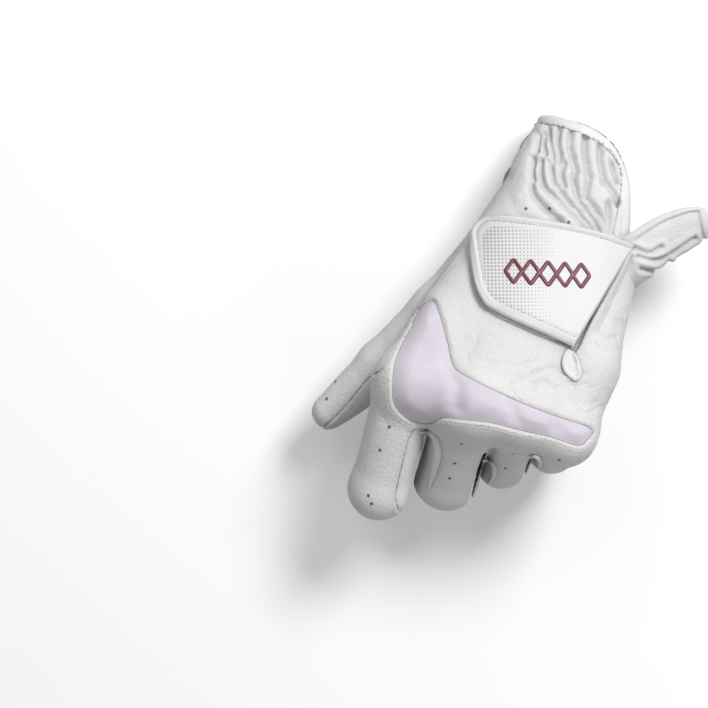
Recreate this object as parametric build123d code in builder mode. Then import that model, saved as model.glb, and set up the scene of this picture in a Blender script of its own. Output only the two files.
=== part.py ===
from build123d import *
import math
import os

os.makedirs("parts", exist_ok=True)

# ---------------------------------------------------------------- dimensions
# Design frame: X runs along the axis of the handle the glove grips, Y across
# the back of the hand, Z out of the back of the hand.  Millimetres.
GRIP_R = 12.0        # radius of the handle the curled fingers clamp
WALL = 0.8           # leather thickness
GAP = 0.35           # running gap inside every knuckle
HEM_T = 0.7          # extra thickness of a folded hem
PATCH_T = 0.8        # hook and loop patches
TAB_T = 1.2          # closure tab leather
TAB_LIFT = 0.35      # air between the loop patch and the hook patch
EMBLEM_T = 0.5
SEAM_Y = {"palm_panel": 1.74, "wrist_hem": 26.87}
SCRAP = 0.1  # solids under this share of a piece's largest are cut-offs
SEAT = 0.05          # glue line under a sewn-on layer
TILT_X = 0.0         # rest attitude, degrees
TILT_Y = 0.0
SHIFT = (-69.0, -33.4, 28.6)

FINGER_DIR = (0.552, 0.834, 0.0)    # q axis of every finger plane
KNUCKLE_AXIS = (0.834, -0.552, 0.0)  # knuckle hinge direction

# finger: plane X, knuckle, first joint, second joint, tip as (q, z),
# radii at knuckle, first joint, second joint, tip, start of the finger sleeve
FINGERS = {
    "index": (14.0, (22, 27), (-16.5, 12.5), (-16, -12), (0, -21), (10.4, 10.3, 8.7, 7.4), 18.0),
    "middle": (40.5, (5.5, 33), (-22, 3), (-13, -20.5), (5, -22), (10.3, 9.5, 7.9, 6.6), 14.0),
    "ring": (62.0, (-5.5, 31), (-22.5, -3.5), (-9, -22.5), (10, -21), (9.8, 8.7, 7.2, 5.9), 11.0),
    "little": (82.0, (-18.5, 25), (-24, -5), (-13.5, -20), (3.5, -22), (8.7, 8.2, 6.7, 5.4), 10.0),
}
THUMB = [(84, 58, -6), (46, 37.5, 2), (20, 26, -2.5), (-1, 17.3, -6)]
THUMB_R = (13.0, 11.2, 9.2, 6.6)

HAND_ORIGIN = (50.5, 1.0, 27.5)
HAND_AXIS = Vector(0.6373, 0.6823, -0.3582).normalized()
HAND_SIDE = Vector(0.7442, -0.6656, 0.0561).normalized()
HAND_BACK = Vector(0.2001, 0.3023, 0.932).normalized()

# cross-sections of the hand: station along the hand axis, thickness factor,
# outline as (side, back) pairs
SECTIONS = [
    (-11, 1.0, [(25.2, 4.7), (18.6, 7.4), (13.6, 9.9), (4.4, 11.3), (-6.1, 12.2), (-16.1, 11.0), (-24.7, 9.6), (-34.0, 7.7), (-37.4, 4.7), (-38.3, 1.2), (-35.9, -3.0), (-21.4, -4.9), (-6.1, -3.8), (8.5, -3.6), (24.0, -3.4), (28.0, 0.8)]),
    (-5, 1.0, [(30.6, 4.7), (23.3, 9.0), (15.8, 12.8), (5.5, 15.6), (-6.1, 17.2), (-17.2, 15.0), (-27.8, 12.6), (-37.1, 9.4), (-40.9, 4.7), (-41.3, -0.9), (-38.2, -6.8), (-23.1, -9.6), (-6.1, -8.6), (9.9, -8.3), (30.0, -8.2), (34.0, -1.5)]),
    (8, 1.0, [(35.9, 4.0), (31.8, 8.5), (22.5, 12.2), (12.1, 15.2), (-1.5, 16.8), (-14.6, 15.2), (-26.5, 12.6), (-35.8, 8.8), (-38.9, 4.0), (-39.4, -1.3), (-36.4, -7.2), (-18.7, -9.6), (-1.5, -9.2), (17.8, -11.2), (34.3, -8.6), (37.9, -1.4)]),
    (20, 1.0, [(36.5, 3.5), (34.0, 8.7), (26.2, 13.0), (12.5, 15.2), (-0.3, 16.9), (-14.0, 15.6), (-26.6, 13.1), (-34.4, 8.7), (-37.1, 3.5), (-37.1, -2.0), (-33.3, -8.1), (-16.1, -10.4), (-0.3, -10.4), (18.0, -12.4), (32.5, -8.8), (36.6, -2.0)]),
    (36, 1.0, [(35.2, 2.8), (33.0, 8.6), (26.0, 13.6), (13.0, 16.0), (0.4, 17.5), (-13.4, 16.8), (-25.7, 13.8), (-32.4, 8.5), (-34.7, 2.8), (-34.0, -3.1), (-29.0, -9.0), (-14.1, -11.8), (0.4, -12.4), (16.5, -13.4), (29.0, -9.7), (33.8, -3.1)]),
    (54, 0.95, [(31.0, 2.1), (29.0, 8.4), (23.1, 13.6), (11.9, 17.2), (-0.2, 18.4), (-12.9, 17.8), (-24.0, 14.5), (-29.9, 8.5), (-31.7, 2.1), (-30.3, -4.4), (-24.3, -10.1), (-12.4, -13.3), (-0.2, -14.5), (14.1, -14.9), (25.5, -11.0), (30.0, -4.5)]),
    (72, 0.88, [(28.0, 1.5), (26.0, 8.5), (20.6, 14.4), (11.0, 18.3), (-0.2, 19.7), (-11.8, 18.9), (-21.9, 15.1), (-27.4, 8.7), (-28.9, 1.5), (-26.7, -5.5), (-20.6, -11.2), (-10.8, -15.1), (-0.2, -16.7), (12.1, -16.4), (22.0, -12.3), (27.0, -5.7)]),
    (90, 0.84, [(26.5, 1.3), (24.5, 9.0), (19.0, 15.5), (10.1, 19.9), (-0.3, 21.6), (-11.3, 20.6), (-20.9, 16.2), (-26.0, 9.3), (-27.4, 1.3), (-25.0, -6.3), (-19.0, -12.4), (-10.3, -17.0), (-0.3, -18.9), (10.9, -18.1), (20.4, -13.6), (25.4, -6.7)]),
    (112, 0.86, [(25.8, 1.5), (23.6, 8.6), (18.4, 14.8), (9.7, 19.0), (-0.7, 20.6), (-11.2, 19.6), (-20.3, 15.4), (-25.2, 8.8), (-26.8, 1.5), (-24.4, -5.9), (-18.6, -11.8), (-10.1, -16.0), (-0.7, -17.8), (9.7, -17.0), (19.2, -12.8), (24.6, -6.2)]),
]

# outlines seen from the back of the hand, as (X, Y)
HEM = [(98.0, 94.5), (103.0, 90.6), (113.2, 84.2), (119.0, 75.5), (120.6, 63.8), (118.8, 53.5), (114.6, 43.0)]
INSERT = [(40.2, 43.6), (41.3, 42.1), (41.9, 36.6), (41.3, 28.1), (41.0, 19.6), (45.8, 13.4), (54.2, 4.6), (61.5, -2.2), (69.6, -9.0), (78.7, -16.6), (75.8, -20.0), (72.1, -20.7), (64.4, -15.2), (56.2, -10.1), (46.9, -4.4), (37.3, 0.4), (31.2, 3.4), (28.1, 2.9), (25.6, 3.6), (22.0, 5.6), (18.8, 10.5), (16.7, 16.1), (16.9, 22.6), (18.2, 29.5), (21.4, 35.0), (26.3, 39.5), (30.0, 42.0), (34.6, 44.0)]
TAB = [(113.2, 41.6), (104.3, 48.7), (89.6, 57.4), (79.0, 62.7), (71.6, 64.8), (67.0, 64.6), (63.4, 62.4), (61.2, 58.9), (58.8, 52.9), (57.4, 45.0), (57.5, 39.4), (59.0, 35.6), (66.0, 28.0), (75.5, 19.3), (84.0, 12.0)]
TAB_IN = [(110.8, 41.6), (103.6, 46.6), (91.0, 54.0), (81.0, 59.0), (72.4, 61.8), (68.8, 61.2), (66.4, 57.9), (64.7, 52.0), (63.6, 45.4), (63.8, 41.6), (66.0, 37.0), (73.2, 29.6), (80.4, 22.4), (85.8, 17.0)]
SLIT = [(83.3, -1.0), (84.6, 11.6), (98.0, 25.4), (116.0, 43.6), (118.6, 40.6), (99.2, 24.0), (86.0, 10.9), (84.5, -1.0)]


def moved_in(points, distance):
    """Closed outline moved inwards (or outwards when negative) along its normals."""
    count = len(points)
    result = []
    for i in range(count):
        (x0, y0), (x1, y1) = points[i - 1], points[(i + 1) % count]
        dx, dy = x1 - x0, y1 - y0
        size = math.hypot(dx, dy)
        result.append((points[i][0] - dy / size * distance, points[i][1] + dx / size * distance))
    return result


def hand_loft(inset, first=0, last=9):
    """Loft of the hand sections, each moved in by `inset`, in the active part."""
    faces = []
    for station, thick, outline in SECTIONS[first:last]:
        centre = Vector(*HAND_ORIGIN) + HAND_AXIS * (station + (inset if station == -11 else 0))
        points = moved_in([(u, v * thick) for u, v in outline], inset)
        with BuildSketch(Plane(origin=centre, x_dir=HAND_SIDE, z_dir=-HAND_AXIS)) as section:
            with BuildLine():
                Spline(*points, periodic=True)
            make_face()
        faces.append(section.sketch.face())
    loft(sections=faces)


def finger_point(plane_x, pair):
    q, z = pair
    return Vector(plane_x + FINGER_DIR[0] * q, FINGER_DIR[1] * q, z)


def rod(a, b, ra, rb, extra=0.0, mode=Mode.ADD):
    """Tapered round rod between two centres, in the active part."""
    a, b = Vector(*a), Vector(*b)
    along = b - a
    end = rb + (rb - ra) * extra / along.length
    with Locations(Location(Plane(origin=a, z_dir=along))):
        Cone(ra, end, along.length + extra, align=(Align.CENTER, Align.CENTER, Align.MIN), mode=mode)


def ball(c, r, mode=Mode.ADD):
    with Locations(Location(tuple(Vector(*c)))):
        Sphere(r, mode=mode)


def grip(radius, mode=Mode.SUBTRACT):
    with Locations(Location((45, 0, 0), (0, 90, 0))):
        Cylinder(radius, 260, mode=mode)


def slab(origin, x_dir, z_dir, size, align, mode=Mode.SUBTRACT):
    with Locations(Location(Plane(origin=origin, x_dir=x_dir, z_dir=z_dir))):
        Box(*size, align=align, mode=mode)


def prism(outline, z0, z1, mode=Mode.ADD, smooth=False):
    """Outline seen from the back of the hand, extruded towards the viewer."""
    with BuildSketch(Plane.XY.offset(z0)) as outline_sketch:
        with BuildLine():
            if smooth:
                Spline(*outline)
                Line(outline[-1], outline[0])
            else:
                Polyline(*outline, close=True)
        make_face()
    extrude(outline_sketch.sketch, amount=z1 - z0, mode=mode)


def save(part, name):
    rest = Location(SHIFT) * Location((0, 0, 0), (TILT_X, TILT_Y, 0))
    piece = part.moved(rest)
    solids = piece.solids()
    largest = max(s.volume for s in solids)
    solids = sorted((s for s in solids if s.volume > SCRAP * largest), key=lambda s: s.volume)
    if name in SEAM_Y:
        # the longest leathers are joined from two lengths, butted at a level seam
        halves = split(solids[0], bisect_by=Plane(origin=(0, SEAM_Y[name], 0), z_dir=(0, 1, 0)), keep=Keep.BOTH)
        solids = list(halves.solids()) + solids[1:]
    solids = [s.fix() for s in solids]
    piece = solids[0] if len(solids) == 1 else Compound(children=solids)
    piece.label = name
    export_step(piece, "parts/" + name + ".step")
    print(name, len(solids), round(sum(s.volume for s in solids)))
    return piece


JOINT = Vector(*KNUCKLE_AXIS)
HALF = (Align.CENTER, Align.CENTER, Align.MIN)


def finger_frame(name, which):
    """Joint centre, direction back to the previous joint, palm-side normal."""
    data = FINGERS[name]
    before, here = finger_point(data[0], data[which]), finger_point(data[0], data[which + 1])
    back = (before - here).normalized()
    palm = back.cross(JOINT).normalized()
    after = finger_point(data[0], data[which + 2])
    if (after - here).dot(palm) < 0:
        palm = palm * -1
    return here, back, palm


# ---------------------------------------------------------------- hand shell
with BuildPart() as hand_outer:
    hand_loft(0.0)
    for name, (px, k, j1, j2, tip, r, start) in FINGERS.items():
        rod(finger_point(px, k), finger_point(px, j1), r[0], r[1])
    rod(THUMB[0], THUMB[1], THUMB_R[0], THUMB_R[1])
    ball(THUMB[1], THUMB_R[1])
    rod(THUMB[1], THUMB[2], THUMB_R[1], THUMB_R[2])
    grip(GRIP_R)

with BuildPart() as hand_inner:
    hand_loft(WALL)
    for name, (px, k, j1, j2, tip, r, start) in FINGERS.items():
        rod(finger_point(px, k), finger_point(px, j1), r[0] - WALL, r[1] - WALL, 4.0)
    rod(THUMB[0], THUMB[1], THUMB_R[0] - WALL, THUMB_R[1] - WALL)
    ball(THUMB[1], THUMB_R[1] - WALL)
    rod(THUMB[1], THUMB[2], THUMB_R[1] - WALL, THUMB_R[2] - WALL, 4.0)
    grip(GRIP_R + WALL)

THUMB_BACK = (Vector(*THUMB[1]) - Vector(*THUMB[2])).normalized()
THUMB_AXIS = THUMB_BACK.cross(Vector(0, -1, 0)).normalized()
THUMB_PALM = THUMB_AXIS.cross(THUMB_BACK).normalized()
if THUMB_PALM.Y > 0:
    THUMB_PALM = THUMB_PALM * -1

with BuildPart() as shell:
    add(hand_outer.part)
    add(hand_inner.part, mode=Mode.SUBTRACT)
    # every finger sleeve is cut back on the palm side so the next segment can swing
    for name, (px, k, j1, j2, tip, r, start) in FINGERS.items():
        here, back, palm = finger_frame(name, 1)
        edge = here - palm * r[1]
        run = (palm * (2 * r[1]) + back * 10.5).normalized()
        out = run.cross(JOINT).normalized()
        if out.dot(back) > 0:
            out = out * -1
        slab(edge + run * 11, JOINT, out, (2 * r[1] + 0.6, 36, 16), HALF)
        ball(here, r[1] - WALL, Mode.SUBTRACT)
    here = Vector(*THUMB[2])
    edge = here - THUMB_PALM * THUMB_R[2]
    run = (THUMB_PALM * (2 * THUMB_R[2]) + THUMB_BACK * 5.0).normalized()
    out = run.cross(THUMB_AXIS).normalized()
    if out.dot(THUMB_BACK) > 0:
        out = out * -1
    slab(edge + run * 11, THUMB_AXIS, out, (26, 30, 16), HALF)
    ball(here, THUMB_R[2] - WALL, Mode.SUBTRACT)
    # cuff opening, following the curved hem, and the square end on the little finger side
    prism(HEM + [(112.4, 38.0), (112.4, -40.0), (200, -40), (200, 150), (98, 150)], -80, 80, Mode.SUBTRACT)
    # vent slit under the closure tab
    prism(SLIT, 4, 60, Mode.SUBTRACT)
print("shell", shell.part.volume, len(shell.part.solids()))

# ---------------------------------------------------------------- regions
NAMES = list(FINGERS)


def sleeve_box(name, mode):
    """Region of one finger sleeve on the hand, bounded half way to its neighbours."""
    i = NAMES.index(name)
    px, k, j1, j2, tip, r, start = FINGERS[name]
    a, b = finger_point(px, k), finger_point(px, j1)
    along = (b - a).normalized()
    low = (px - FINGERS[NAMES[i - 1]][0]) * 0.417 if i > 0 else r[0] + 3
    high = (FINGERS[NAMES[i + 1]][0] - px) * 0.417 if i < 3 else r[0] + 3
    slab(a + along * start + JOINT * ((high - low) / 2), JOINT, along,
         (low + high, 2 * (r[0] + 1.4), (b - a).length - start + 4), HALF, mode)


def between(left, right, half, mode):
    """Strip of the sleeves on either side of the gap between two fingers."""
    middle = (FINGERS[left][0] + FINGERS[right][0]) / 2
    slab(finger_point(middle, (0, 0)), JOINT, (0, 0, 1), (2 * half, 300, 200), (Align.CENTER,) * 3, mode)


STRIPS = {("index", "middle"): 3.9, ("middle", "ring"): 2.5, ("ring", "little"): 2.3}
THUMB_ALONG = (Vector(*THUMB[2]) - Vector(*THUMB[1])).normalized()
THUMB_SEAM = Vector(58, 43.8, 0)


def thumb_box(mode):
    slab(THUMB_SEAM, (0, 0, 1), THUMB_ALONG, (26, 27, 60), HALF, mode)


def back_side(mode):
    slab(Vector(*HAND_ORIGIN) + HAND_BACK * 2 + HAND_AXIS * 50, HAND_SIDE, HAND_BACK, (160, 200, 80), HALF, mode)


built = {}
for name in NAMES:
    with BuildPart() as sleeve:
        add(shell.part)
        sleeve_box(name, Mode.INTERSECT)
        for (left, right), half in STRIPS.items():
            if name in (left, right):
                between(left, right, half, Mode.SUBTRACT)
    built[name + "_sleeve"] = sleeve.part
for (left, right), half in STRIPS.items():
    with BuildPart() as gusset:
        sleeve_box(left, Mode.ADD)
        sleeve_box(right, Mode.ADD)
        between(left, right, half, Mode.INTERSECT)
        add(shell.part, mode=Mode.INTERSECT)
    built["gusset_" + left + "_" + right] = gusset.part

with BuildPart() as body:
    add(shell.part)
    for name in NAMES:
        sleeve_box(name, Mode.SUBTRACT)
with BuildPart() as thumb_sleeve:
    add(body.part)
    thumb_box(Mode.INTERSECT)
built["thumb_sleeve"] = thumb_sleeve.part
with BuildPart() as knuckle_insert:
    add(body.part)
    prism(INSERT, 21, 80, Mode.INTERSECT)
built["knuckle_insert"] = knuckle_insert.part
with BuildPart() as back_panel:
    add(body.part)
    thumb_box(Mode.SUBTRACT)
    prism(INSERT, 21, 80, Mode.SUBTRACT)
    back_side(Mode.INTERSECT)
built["back_panel"] = back_panel.part
with BuildPart() as palm_panel:
    add(body.part)
    thumb_box(Mode.SUBTRACT)
    prism(INSERT, 21, 80, Mode.SUBTRACT)
    back_side(Mode.SUBTRACT)
built["palm_panel"] = palm_panel.part

# ---------------------------------------------------------------- layers over the back
levels = {}


def level(offset):
    """Solid hand form grown outwards by `offset`."""
    if offset not in levels:
        with BuildPart() as form:
            hand_loft(-offset)
        levels[offset] = form.part
    return levels[offset]


def layer(low, high, outline, z0=0, z1=80, cut=(), smooth=False):
    """Sheet between two levels over the hand, trimmed to an outline."""
    with BuildPart() as sheet:
        prism(outline, z0, z1, smooth=smooth)
        add(level(high), mode=Mode.INTERSECT)
        add(level(low), mode=Mode.SUBTRACT)
        for hole in cut:
            prism(hole, z0 - 1, z1 + 1, Mode.SUBTRACT)
    return sheet.part


HEM_IN = moved_in(list(reversed(HEM)), 3.2)
HEM_IN = list(reversed(HEM_IN))
HEM_BAND = HEM[1:] + list(reversed([(99.6, 88.6), (101.8, 87.6), (111.0, 81.9), (116.1, 74.2), (117.4, 63.9), (115.7, 54.4), (111.8, 43.4)]))
built["wrist_hem"] = layer(SEAT, HEM_T, HEM_BAND, -60, 60, cut=(SLIT,))
ELASTIC = [(84.0, 86.0), (92.0, 93.0), (116.0, 50.0), (108.0, 40.0)]
with BuildPart() as wrist_elastic:
    prism(ELASTIC, -6, 60)
    add(level(-WALL - SEAT), mode=Mode.INTERSECT)
    add(level(-WALL - 0.75), mode=Mode.SUBTRACT)
    prism(SLIT, -10, 80, Mode.SUBTRACT)
built["wrist_elastic"] = wrist_elastic.part
TEARDROP = [(81.2, 8.2), (79.3, 4.6), (79.7, 1.6), (82.0, -2.6), (85.8, -3.2), (87.2, 2.0), (86.6, 7.0)]
built["slit_reinforcement"] = layer(SEAT, 0.5, TEARDROP, 10, 60, cut=(SLIT,))
LOOP = [(104.0, 45.5), (90.0, 54.0), (79.0, 59.3), (70.0, 61.4), (65.6, 58.0), (62.0, 47.0), (62.6, 40.4), (75.0, 27.0), (86.0, 17.5), (97.0, 28.5)]
built["loop_patch"] = layer(SEAT, PATCH_T, LOOP, 5, 60, cut=(SLIT,))
HOOK = [(92.0, 51.6), (79.0, 57.6), (71.0, 59.6), (66.6, 56.6), (63.4, 47.0), (64.2, 41.0), (75.0, 29.5), (79.0, 25.5)]
built["hook_patch"] = layer(PATCH_T + TAB_LIFT, 2 * PATCH_T + TAB_LIFT, HOOK, 5, 60)
T0 = 2 * PATCH_T + TAB_LIFT
T1 = T0 + TAB_T
built["closure_tab"] = layer(T0, T1, TAB, 2, 60)
TAB_RIM = [(110.6, 40.6), (103.2, 46.4), (88.8, 54.9), (78.6, 60.0), (71.4, 62.1), (68.0, 62.0), (65.5, 60.4), (63.7, 57.6), (61.5, 52.2), (60.2, 45.0), (60.3, 40.4), (61.4, 37.4), (67.8, 30.2), (76.6, 22.2), (83.6, 15.8)]
built["tab_binding"] = layer(T1, T1 + 0.5, TAB[:-1] + [(84.0, 12.0)] + list(reversed(TAB_RIM)), 2, 60)
with BuildPart() as emblem:
    for i in range(5):
        cx, cy = 74.0 + 5.6 * i, 41.2 - 1.1 * i
        prism([(cx - 2.2, cy), (cx, cy + 3.2), (cx + 2.2, cy), (cx, cy - 3.2)], 5, 60)
    add(level(T1 + EMBLEM_T), mode=Mode.INTERSECT)
    add(level(T1), mode=Mode.SUBTRACT)
built["tab_emblem"] = emblem.part
ANCHOR = [(88.6, 12.2), (116.6, 38.6), (119.4, 35.6), (91.0, 8.8)]
built["tab_anchor"] = layer(SEAT, 1.0, ANCHOR, 2, 60, cut=([(112.4, -20), (150, -20), (150, 60), (112.4, 60)],))

# ---------------------------------------------------------------- flared cuff flap
FLAP = [
    (112.8, [(40.2, 16.6), (33.8, 16.1), (27.4, 14.0), (24.4, 8.3), (25.2, 2.3), (28.2, -2.9), (32.4, -7.0), (37.2, -10.6)]),
    (128.0, [(44.6, 15.4), (38.6, 14.9), (32.9, 12.4), (30.2, 7.6), (30.8, 3.0), (33.4, -1.2), (36.6, -3.8), (40.4, -5.6)]),
    (142.0, [(44.2, 10.6), (40.2, 10.2), (36.8, 8.4), (34.6, 5.6), (35.0, 2.8), (36.8, 0.4), (39.2, -1.0), (41.8, -1.8)]),
    (145.6, [(43.0, 9.2), (39.6, 8.8), (36.8, 7.4), (35.0, 5.2), (35.4, 2.8), (36.8, 1.0), (39.0, -0.2), (41.4, -0.8)]),
]


def arc_sheet(first, last, grow, thick):
    """Curved sheet lofted between the open flap sections, in the active part."""
    faces = []
    for x, line in FLAP[first:last]:
        closed = [((line[max(i - 1, 0)]), line[min(i + 1, len(line) - 1)]) for i in range(len(line))]
        outer, inner = [], []
        for (y, z), (before, after) in zip(line, closed):
            dy, dz = after[0] - before[0], after[1] - before[1]
            size = math.hypot(dy, dz)
            ny, nz = dz / size, -dy / size
            outer.append((y + ny * grow, z + nz * grow))
            inner.append((y + ny * (grow - thick), z + nz * (grow - thick)))
        with BuildSketch(Plane(origin=(x, 0, 0), x_dir=(0, 1, 0), z_dir=(1, 0, 0))) as section:
            with BuildLine():
                Spline(*outer)
                Line(outer[-1], inner[-1])
                Spline(*reversed(inner))
                Line(inner[0], outer[0])
            make_face()
        faces.append(section.sketch.face())
    loft(sections=faces)


with BuildPart() as cuff_flap:
    arc_sheet(0, 3, 0.0, 1.0)
built["cuff_flap"] = cuff_flap.part
with BuildPart() as flap_hem:
    arc_sheet(2, 4, 0.3, 1.6)
    with Locations((142.0 - 5, 40, 5)):
        Box(10, 60, 60, mode=Mode.SUBTRACT)
built["flap_hem"] = flap_hem.part

# ---------------------------------------------------------------- moving finger segments
SIDE = (Align.CENTER, Align.CENTER, Align.MIN)


def hollow_segment(a, b, ra, rb, tip):
    """Outer and inner forms of one moving segment; both give way to the handle."""
    with BuildPart() as outer:
        rod(a, b, ra, rb)
        ball(a, ra)
        if tip:
            ball(b, rb)
        grip(GRIP_R)
    with BuildPart() as inner:
        rod(a, b, ra - WALL, rb - WALL, 0 if tip else 4.0)
        ball(a, ra - WALL)
        if tip:
            ball(b, rb - WALL)
        grip(GRIP_R + WALL)
    return outer.part, inner.part


for name in NAMES:
    px, k, j1, j2, tip, r, start = FINGERS[name]
    for which, label in ((1, "_middle_segment"), (2, "_fingertip")):
        here, back, palm = finger_frame(name, which)
        after = finger_point(px, j2 if which == 1 else tip)
        ahead = (after - here).normalized()
        own_palm = ahead.cross(JOINT).normalized()
        if own_palm.dot(back) < 0:
            own_palm = own_palm * -1
        ra = r[which] - WALL - GAP
        outer, inner = hollow_segment(here, after, ra, r[which + 1], which == 2)
        with BuildPart() as segment:
            add(outer)
            add(inner, mode=Mode.SUBTRACT)
            # opening for the finger, on the palm side behind the joint
            slab(here + own_palm * 18.5, JOINT, -ahead, (40, 40, 15), SIDE)
            if which == 1:
                nxt, nback, npalm = finger_frame(name, 2)
                edge = nxt - npalm * r[2]
                run = (npalm * (2 * r[2]) + nback * 7.5).normalized()
                out = run.cross(JOINT).normalized()
                if out.dot(nback) > 0:
                    out = out * -1
                slab(edge + run * 10, JOINT, out, (40, 34, 14), SIDE)
                ball(nxt, r[2] - WALL, Mode.SUBTRACT)
        built[name + label] = segment.part

thumb_ra = THUMB_R[2] - WALL - GAP
outer, inner = hollow_segment(THUMB[2], THUMB[3], thumb_ra, THUMB_R[3], True)
with BuildPart() as thumb_tip:
    add(outer)
    add(inner, mode=Mode.SUBTRACT)
    slab(Vector(*THUMB[2]) + THUMB_BACK * 3.0, THUMB_AXIS, THUMB_BACK, (40, 40, 15), SIDE)
built["thumb_tip"] = thumb_tip.part

# the cut-off strip of the back beside the insert belongs to the forefinger's leather
strips = sorted(built["back_panel"].solids(), key=lambda s: s.volume)
with BuildPart() as joined:
    add(built["index_sleeve"])
    for strip in strips[:-1]:
        add(strip)
if len(joined.part.solids()) == len(built["index_sleeve"].solids()):
    built["index_sleeve"] = joined.part
    print("strip joined")

for name, part in built.items():
    save(part, name)
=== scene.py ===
import math
import bpy
import numpy as np
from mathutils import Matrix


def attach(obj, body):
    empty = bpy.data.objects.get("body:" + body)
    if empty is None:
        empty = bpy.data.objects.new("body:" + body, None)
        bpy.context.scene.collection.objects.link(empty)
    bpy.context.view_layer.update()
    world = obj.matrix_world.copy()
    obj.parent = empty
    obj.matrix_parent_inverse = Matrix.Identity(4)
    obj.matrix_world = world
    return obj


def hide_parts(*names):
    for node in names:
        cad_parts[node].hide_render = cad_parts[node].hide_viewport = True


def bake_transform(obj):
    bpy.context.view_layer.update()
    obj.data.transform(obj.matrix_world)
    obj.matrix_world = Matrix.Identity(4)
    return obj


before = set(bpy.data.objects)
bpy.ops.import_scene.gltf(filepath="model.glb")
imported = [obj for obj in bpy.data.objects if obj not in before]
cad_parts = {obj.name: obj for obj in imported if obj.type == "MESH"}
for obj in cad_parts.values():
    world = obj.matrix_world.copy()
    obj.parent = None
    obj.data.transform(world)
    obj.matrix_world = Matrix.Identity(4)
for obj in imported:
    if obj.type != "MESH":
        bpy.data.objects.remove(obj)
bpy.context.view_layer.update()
import openvdb as vdb
from mathutils import Vector, Matrix

rng = np.random.default_rng(7)
SHIFT = np.array([-69.0, -33.4, 28.6])        # design frame (mm) to row frame
EQ = np.array([0.552, 0.834, 0.0])
EJ = np.array([0.834, -0.552, 0.0])
EJN = EJ / np.linalg.norm(EJ)
EYE = np.array([11.4, 34.0, 1050.0])          # viewing point the outlines are drawn from
GRIP_R = 12.0


def fp(x, p):
    return np.array([x + 0.552 * p[0], 0.834 * p[0], p[1]])


FING = {
    "index": dict(X=14.0, p=[(22, 27), (-16.5, 12.5), (-16, -12), (0, -20.5)], r=[11.4, 10.8, 10.0, 8.3], e=0.98),
    "middle": dict(X=40.5, p=[(5.5, 33), (-22, 3), (-13, -20), (5, -21.5)], r=[11.5, 10.9, 9.9, 8.0], e=1.02),
    "ring": dict(X=62.6, p=[(-5.5, 31), (-22.5, -3.5), (-9, -21.5), (10, -21)], r=[11.0, 10.0, 9.2, 7.4], e=0.9),
    "little": dict(X=82.0, p=[(-18.5, 25), (-24, -5), (-13.5, -19.8), (3.5, -21.5)], r=[10.0, 9.5, 8.4, 7.0], e=0.9),
}
NAMES = list(FING)
WC = np.array([106.5, 62.0, -4.0]); WL = np.array([0.60, -0.80, -0.03])
AXH = np.array([0.6373, 0.6823, -0.3582]); AXH /= np.linalg.norm(AXH)
K0 = np.array([50.5, 1.0, 27.5])
HSIDE = np.array([0.7442, -0.6656, 0.0561]); HBACK = np.array([0.2001, 0.3023, 0.932])


def smin(a, b, k):
    h = np.clip(0.5 + 0.5 * (b - a) / k, 0, 1)
    return b * (1 - h) + a * h - k * h * (1 - h)


def smax(a, b, k):
    return -smin(-a, -b, k)


def cap(P, a, b, ra, rb):
    a = np.asarray(a, float); b = np.asarray(b, float)
    d = b - a
    t = np.clip(((P - a) @ d) / (d @ d), 0, 1)
    q = P - a - t[:, None] * d
    return np.sqrt((q * q).sum(1)) - (ra + t * (rb - ra))


def finger_sdf(P, f):
    c = fp(f["X"], f["p"][0])
    j = ((P - c) @ EJN)[:, None]
    Q = P + (1 / f["e"] - 1) * j * EJN
    pts = [fp(f["X"], p) for p in f["p"]]
    d = cap(Q, pts[0], pts[1], f["r"][0], f["r"][1])
    d = smin(d, cap(Q, pts[1], pts[2], f["r"][1], f["r"][2]), 2.5)
    return smin(d, cap(Q, pts[2], pts[3], f["r"][2], f["r"][3]), 2.5)


THUMB = [(84, 58, -6), (46, 37.5, 2), (20, 26.5, -2.5), (-3.6, 17.2, -6.5)]
THUMB_R = [14.0, 11.5, 9.4, 6.4]


def thumb_sdf(P):
    t = cap(P, THUMB[0], THUMB[1], THUMB_R[0], THUMB_R[1])
    t = smin(t, cap(P, THUMB[1], THUMB[2], THUMB_R[1], THUMB_R[2]), 4)
    return smin(t, cap(P, THUMB[2], THUMB[3], THUMB_R[2], THUMB_R[3]), 3)


def hand_sdf(P):
    m = [fp(FING[n]["X"], FING[n]["p"][0]) for n in NAMES]
    rr = [FING[n]["r"][0] for n in NAMES]
    H = None
    for i, o in enumerate((-10, -4, 4, 10)):
        w = WC + WL * o
        H0 = cap(P, m[i], w, rr[i] + 0.3, 15.0)
        H = H0 if H is None else smin(H, H0, 12)
        H = smin(H, cap(P, w, w + AXH * 40, 15.0, 15.0), 6)
    for i in range(3):
        H = smin(H, cap(P, m[i], m[i + 1], rr[i] - 1, rr[i + 1] - 1), 6)
    H = smin(H, cap(P, m[3], (88, 4, 22), 8.0, 8.5), 8)
    return smin(H, cap(P, (88, 4, 22), WC + WL * 9, 8.5, 13), 10)


def outer(P):
    D = None
    for n in NAMES:
        d = finger_sdf(P, FING[n])
        D = d if D is None else smin(D, d, 1.6)
    D = smin(D, hand_sdf(P), 4)
    return smin(D, thumb_sdf(P), 5)


def view_xy(P):
    """Position on the plane Z = 0, seen from the viewing point."""
    return EYE[:2] + (P[:, :2] - EYE[:2]) * (EYE[2] / (EYE[2] - P[:, 2]))[:, None]


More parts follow.
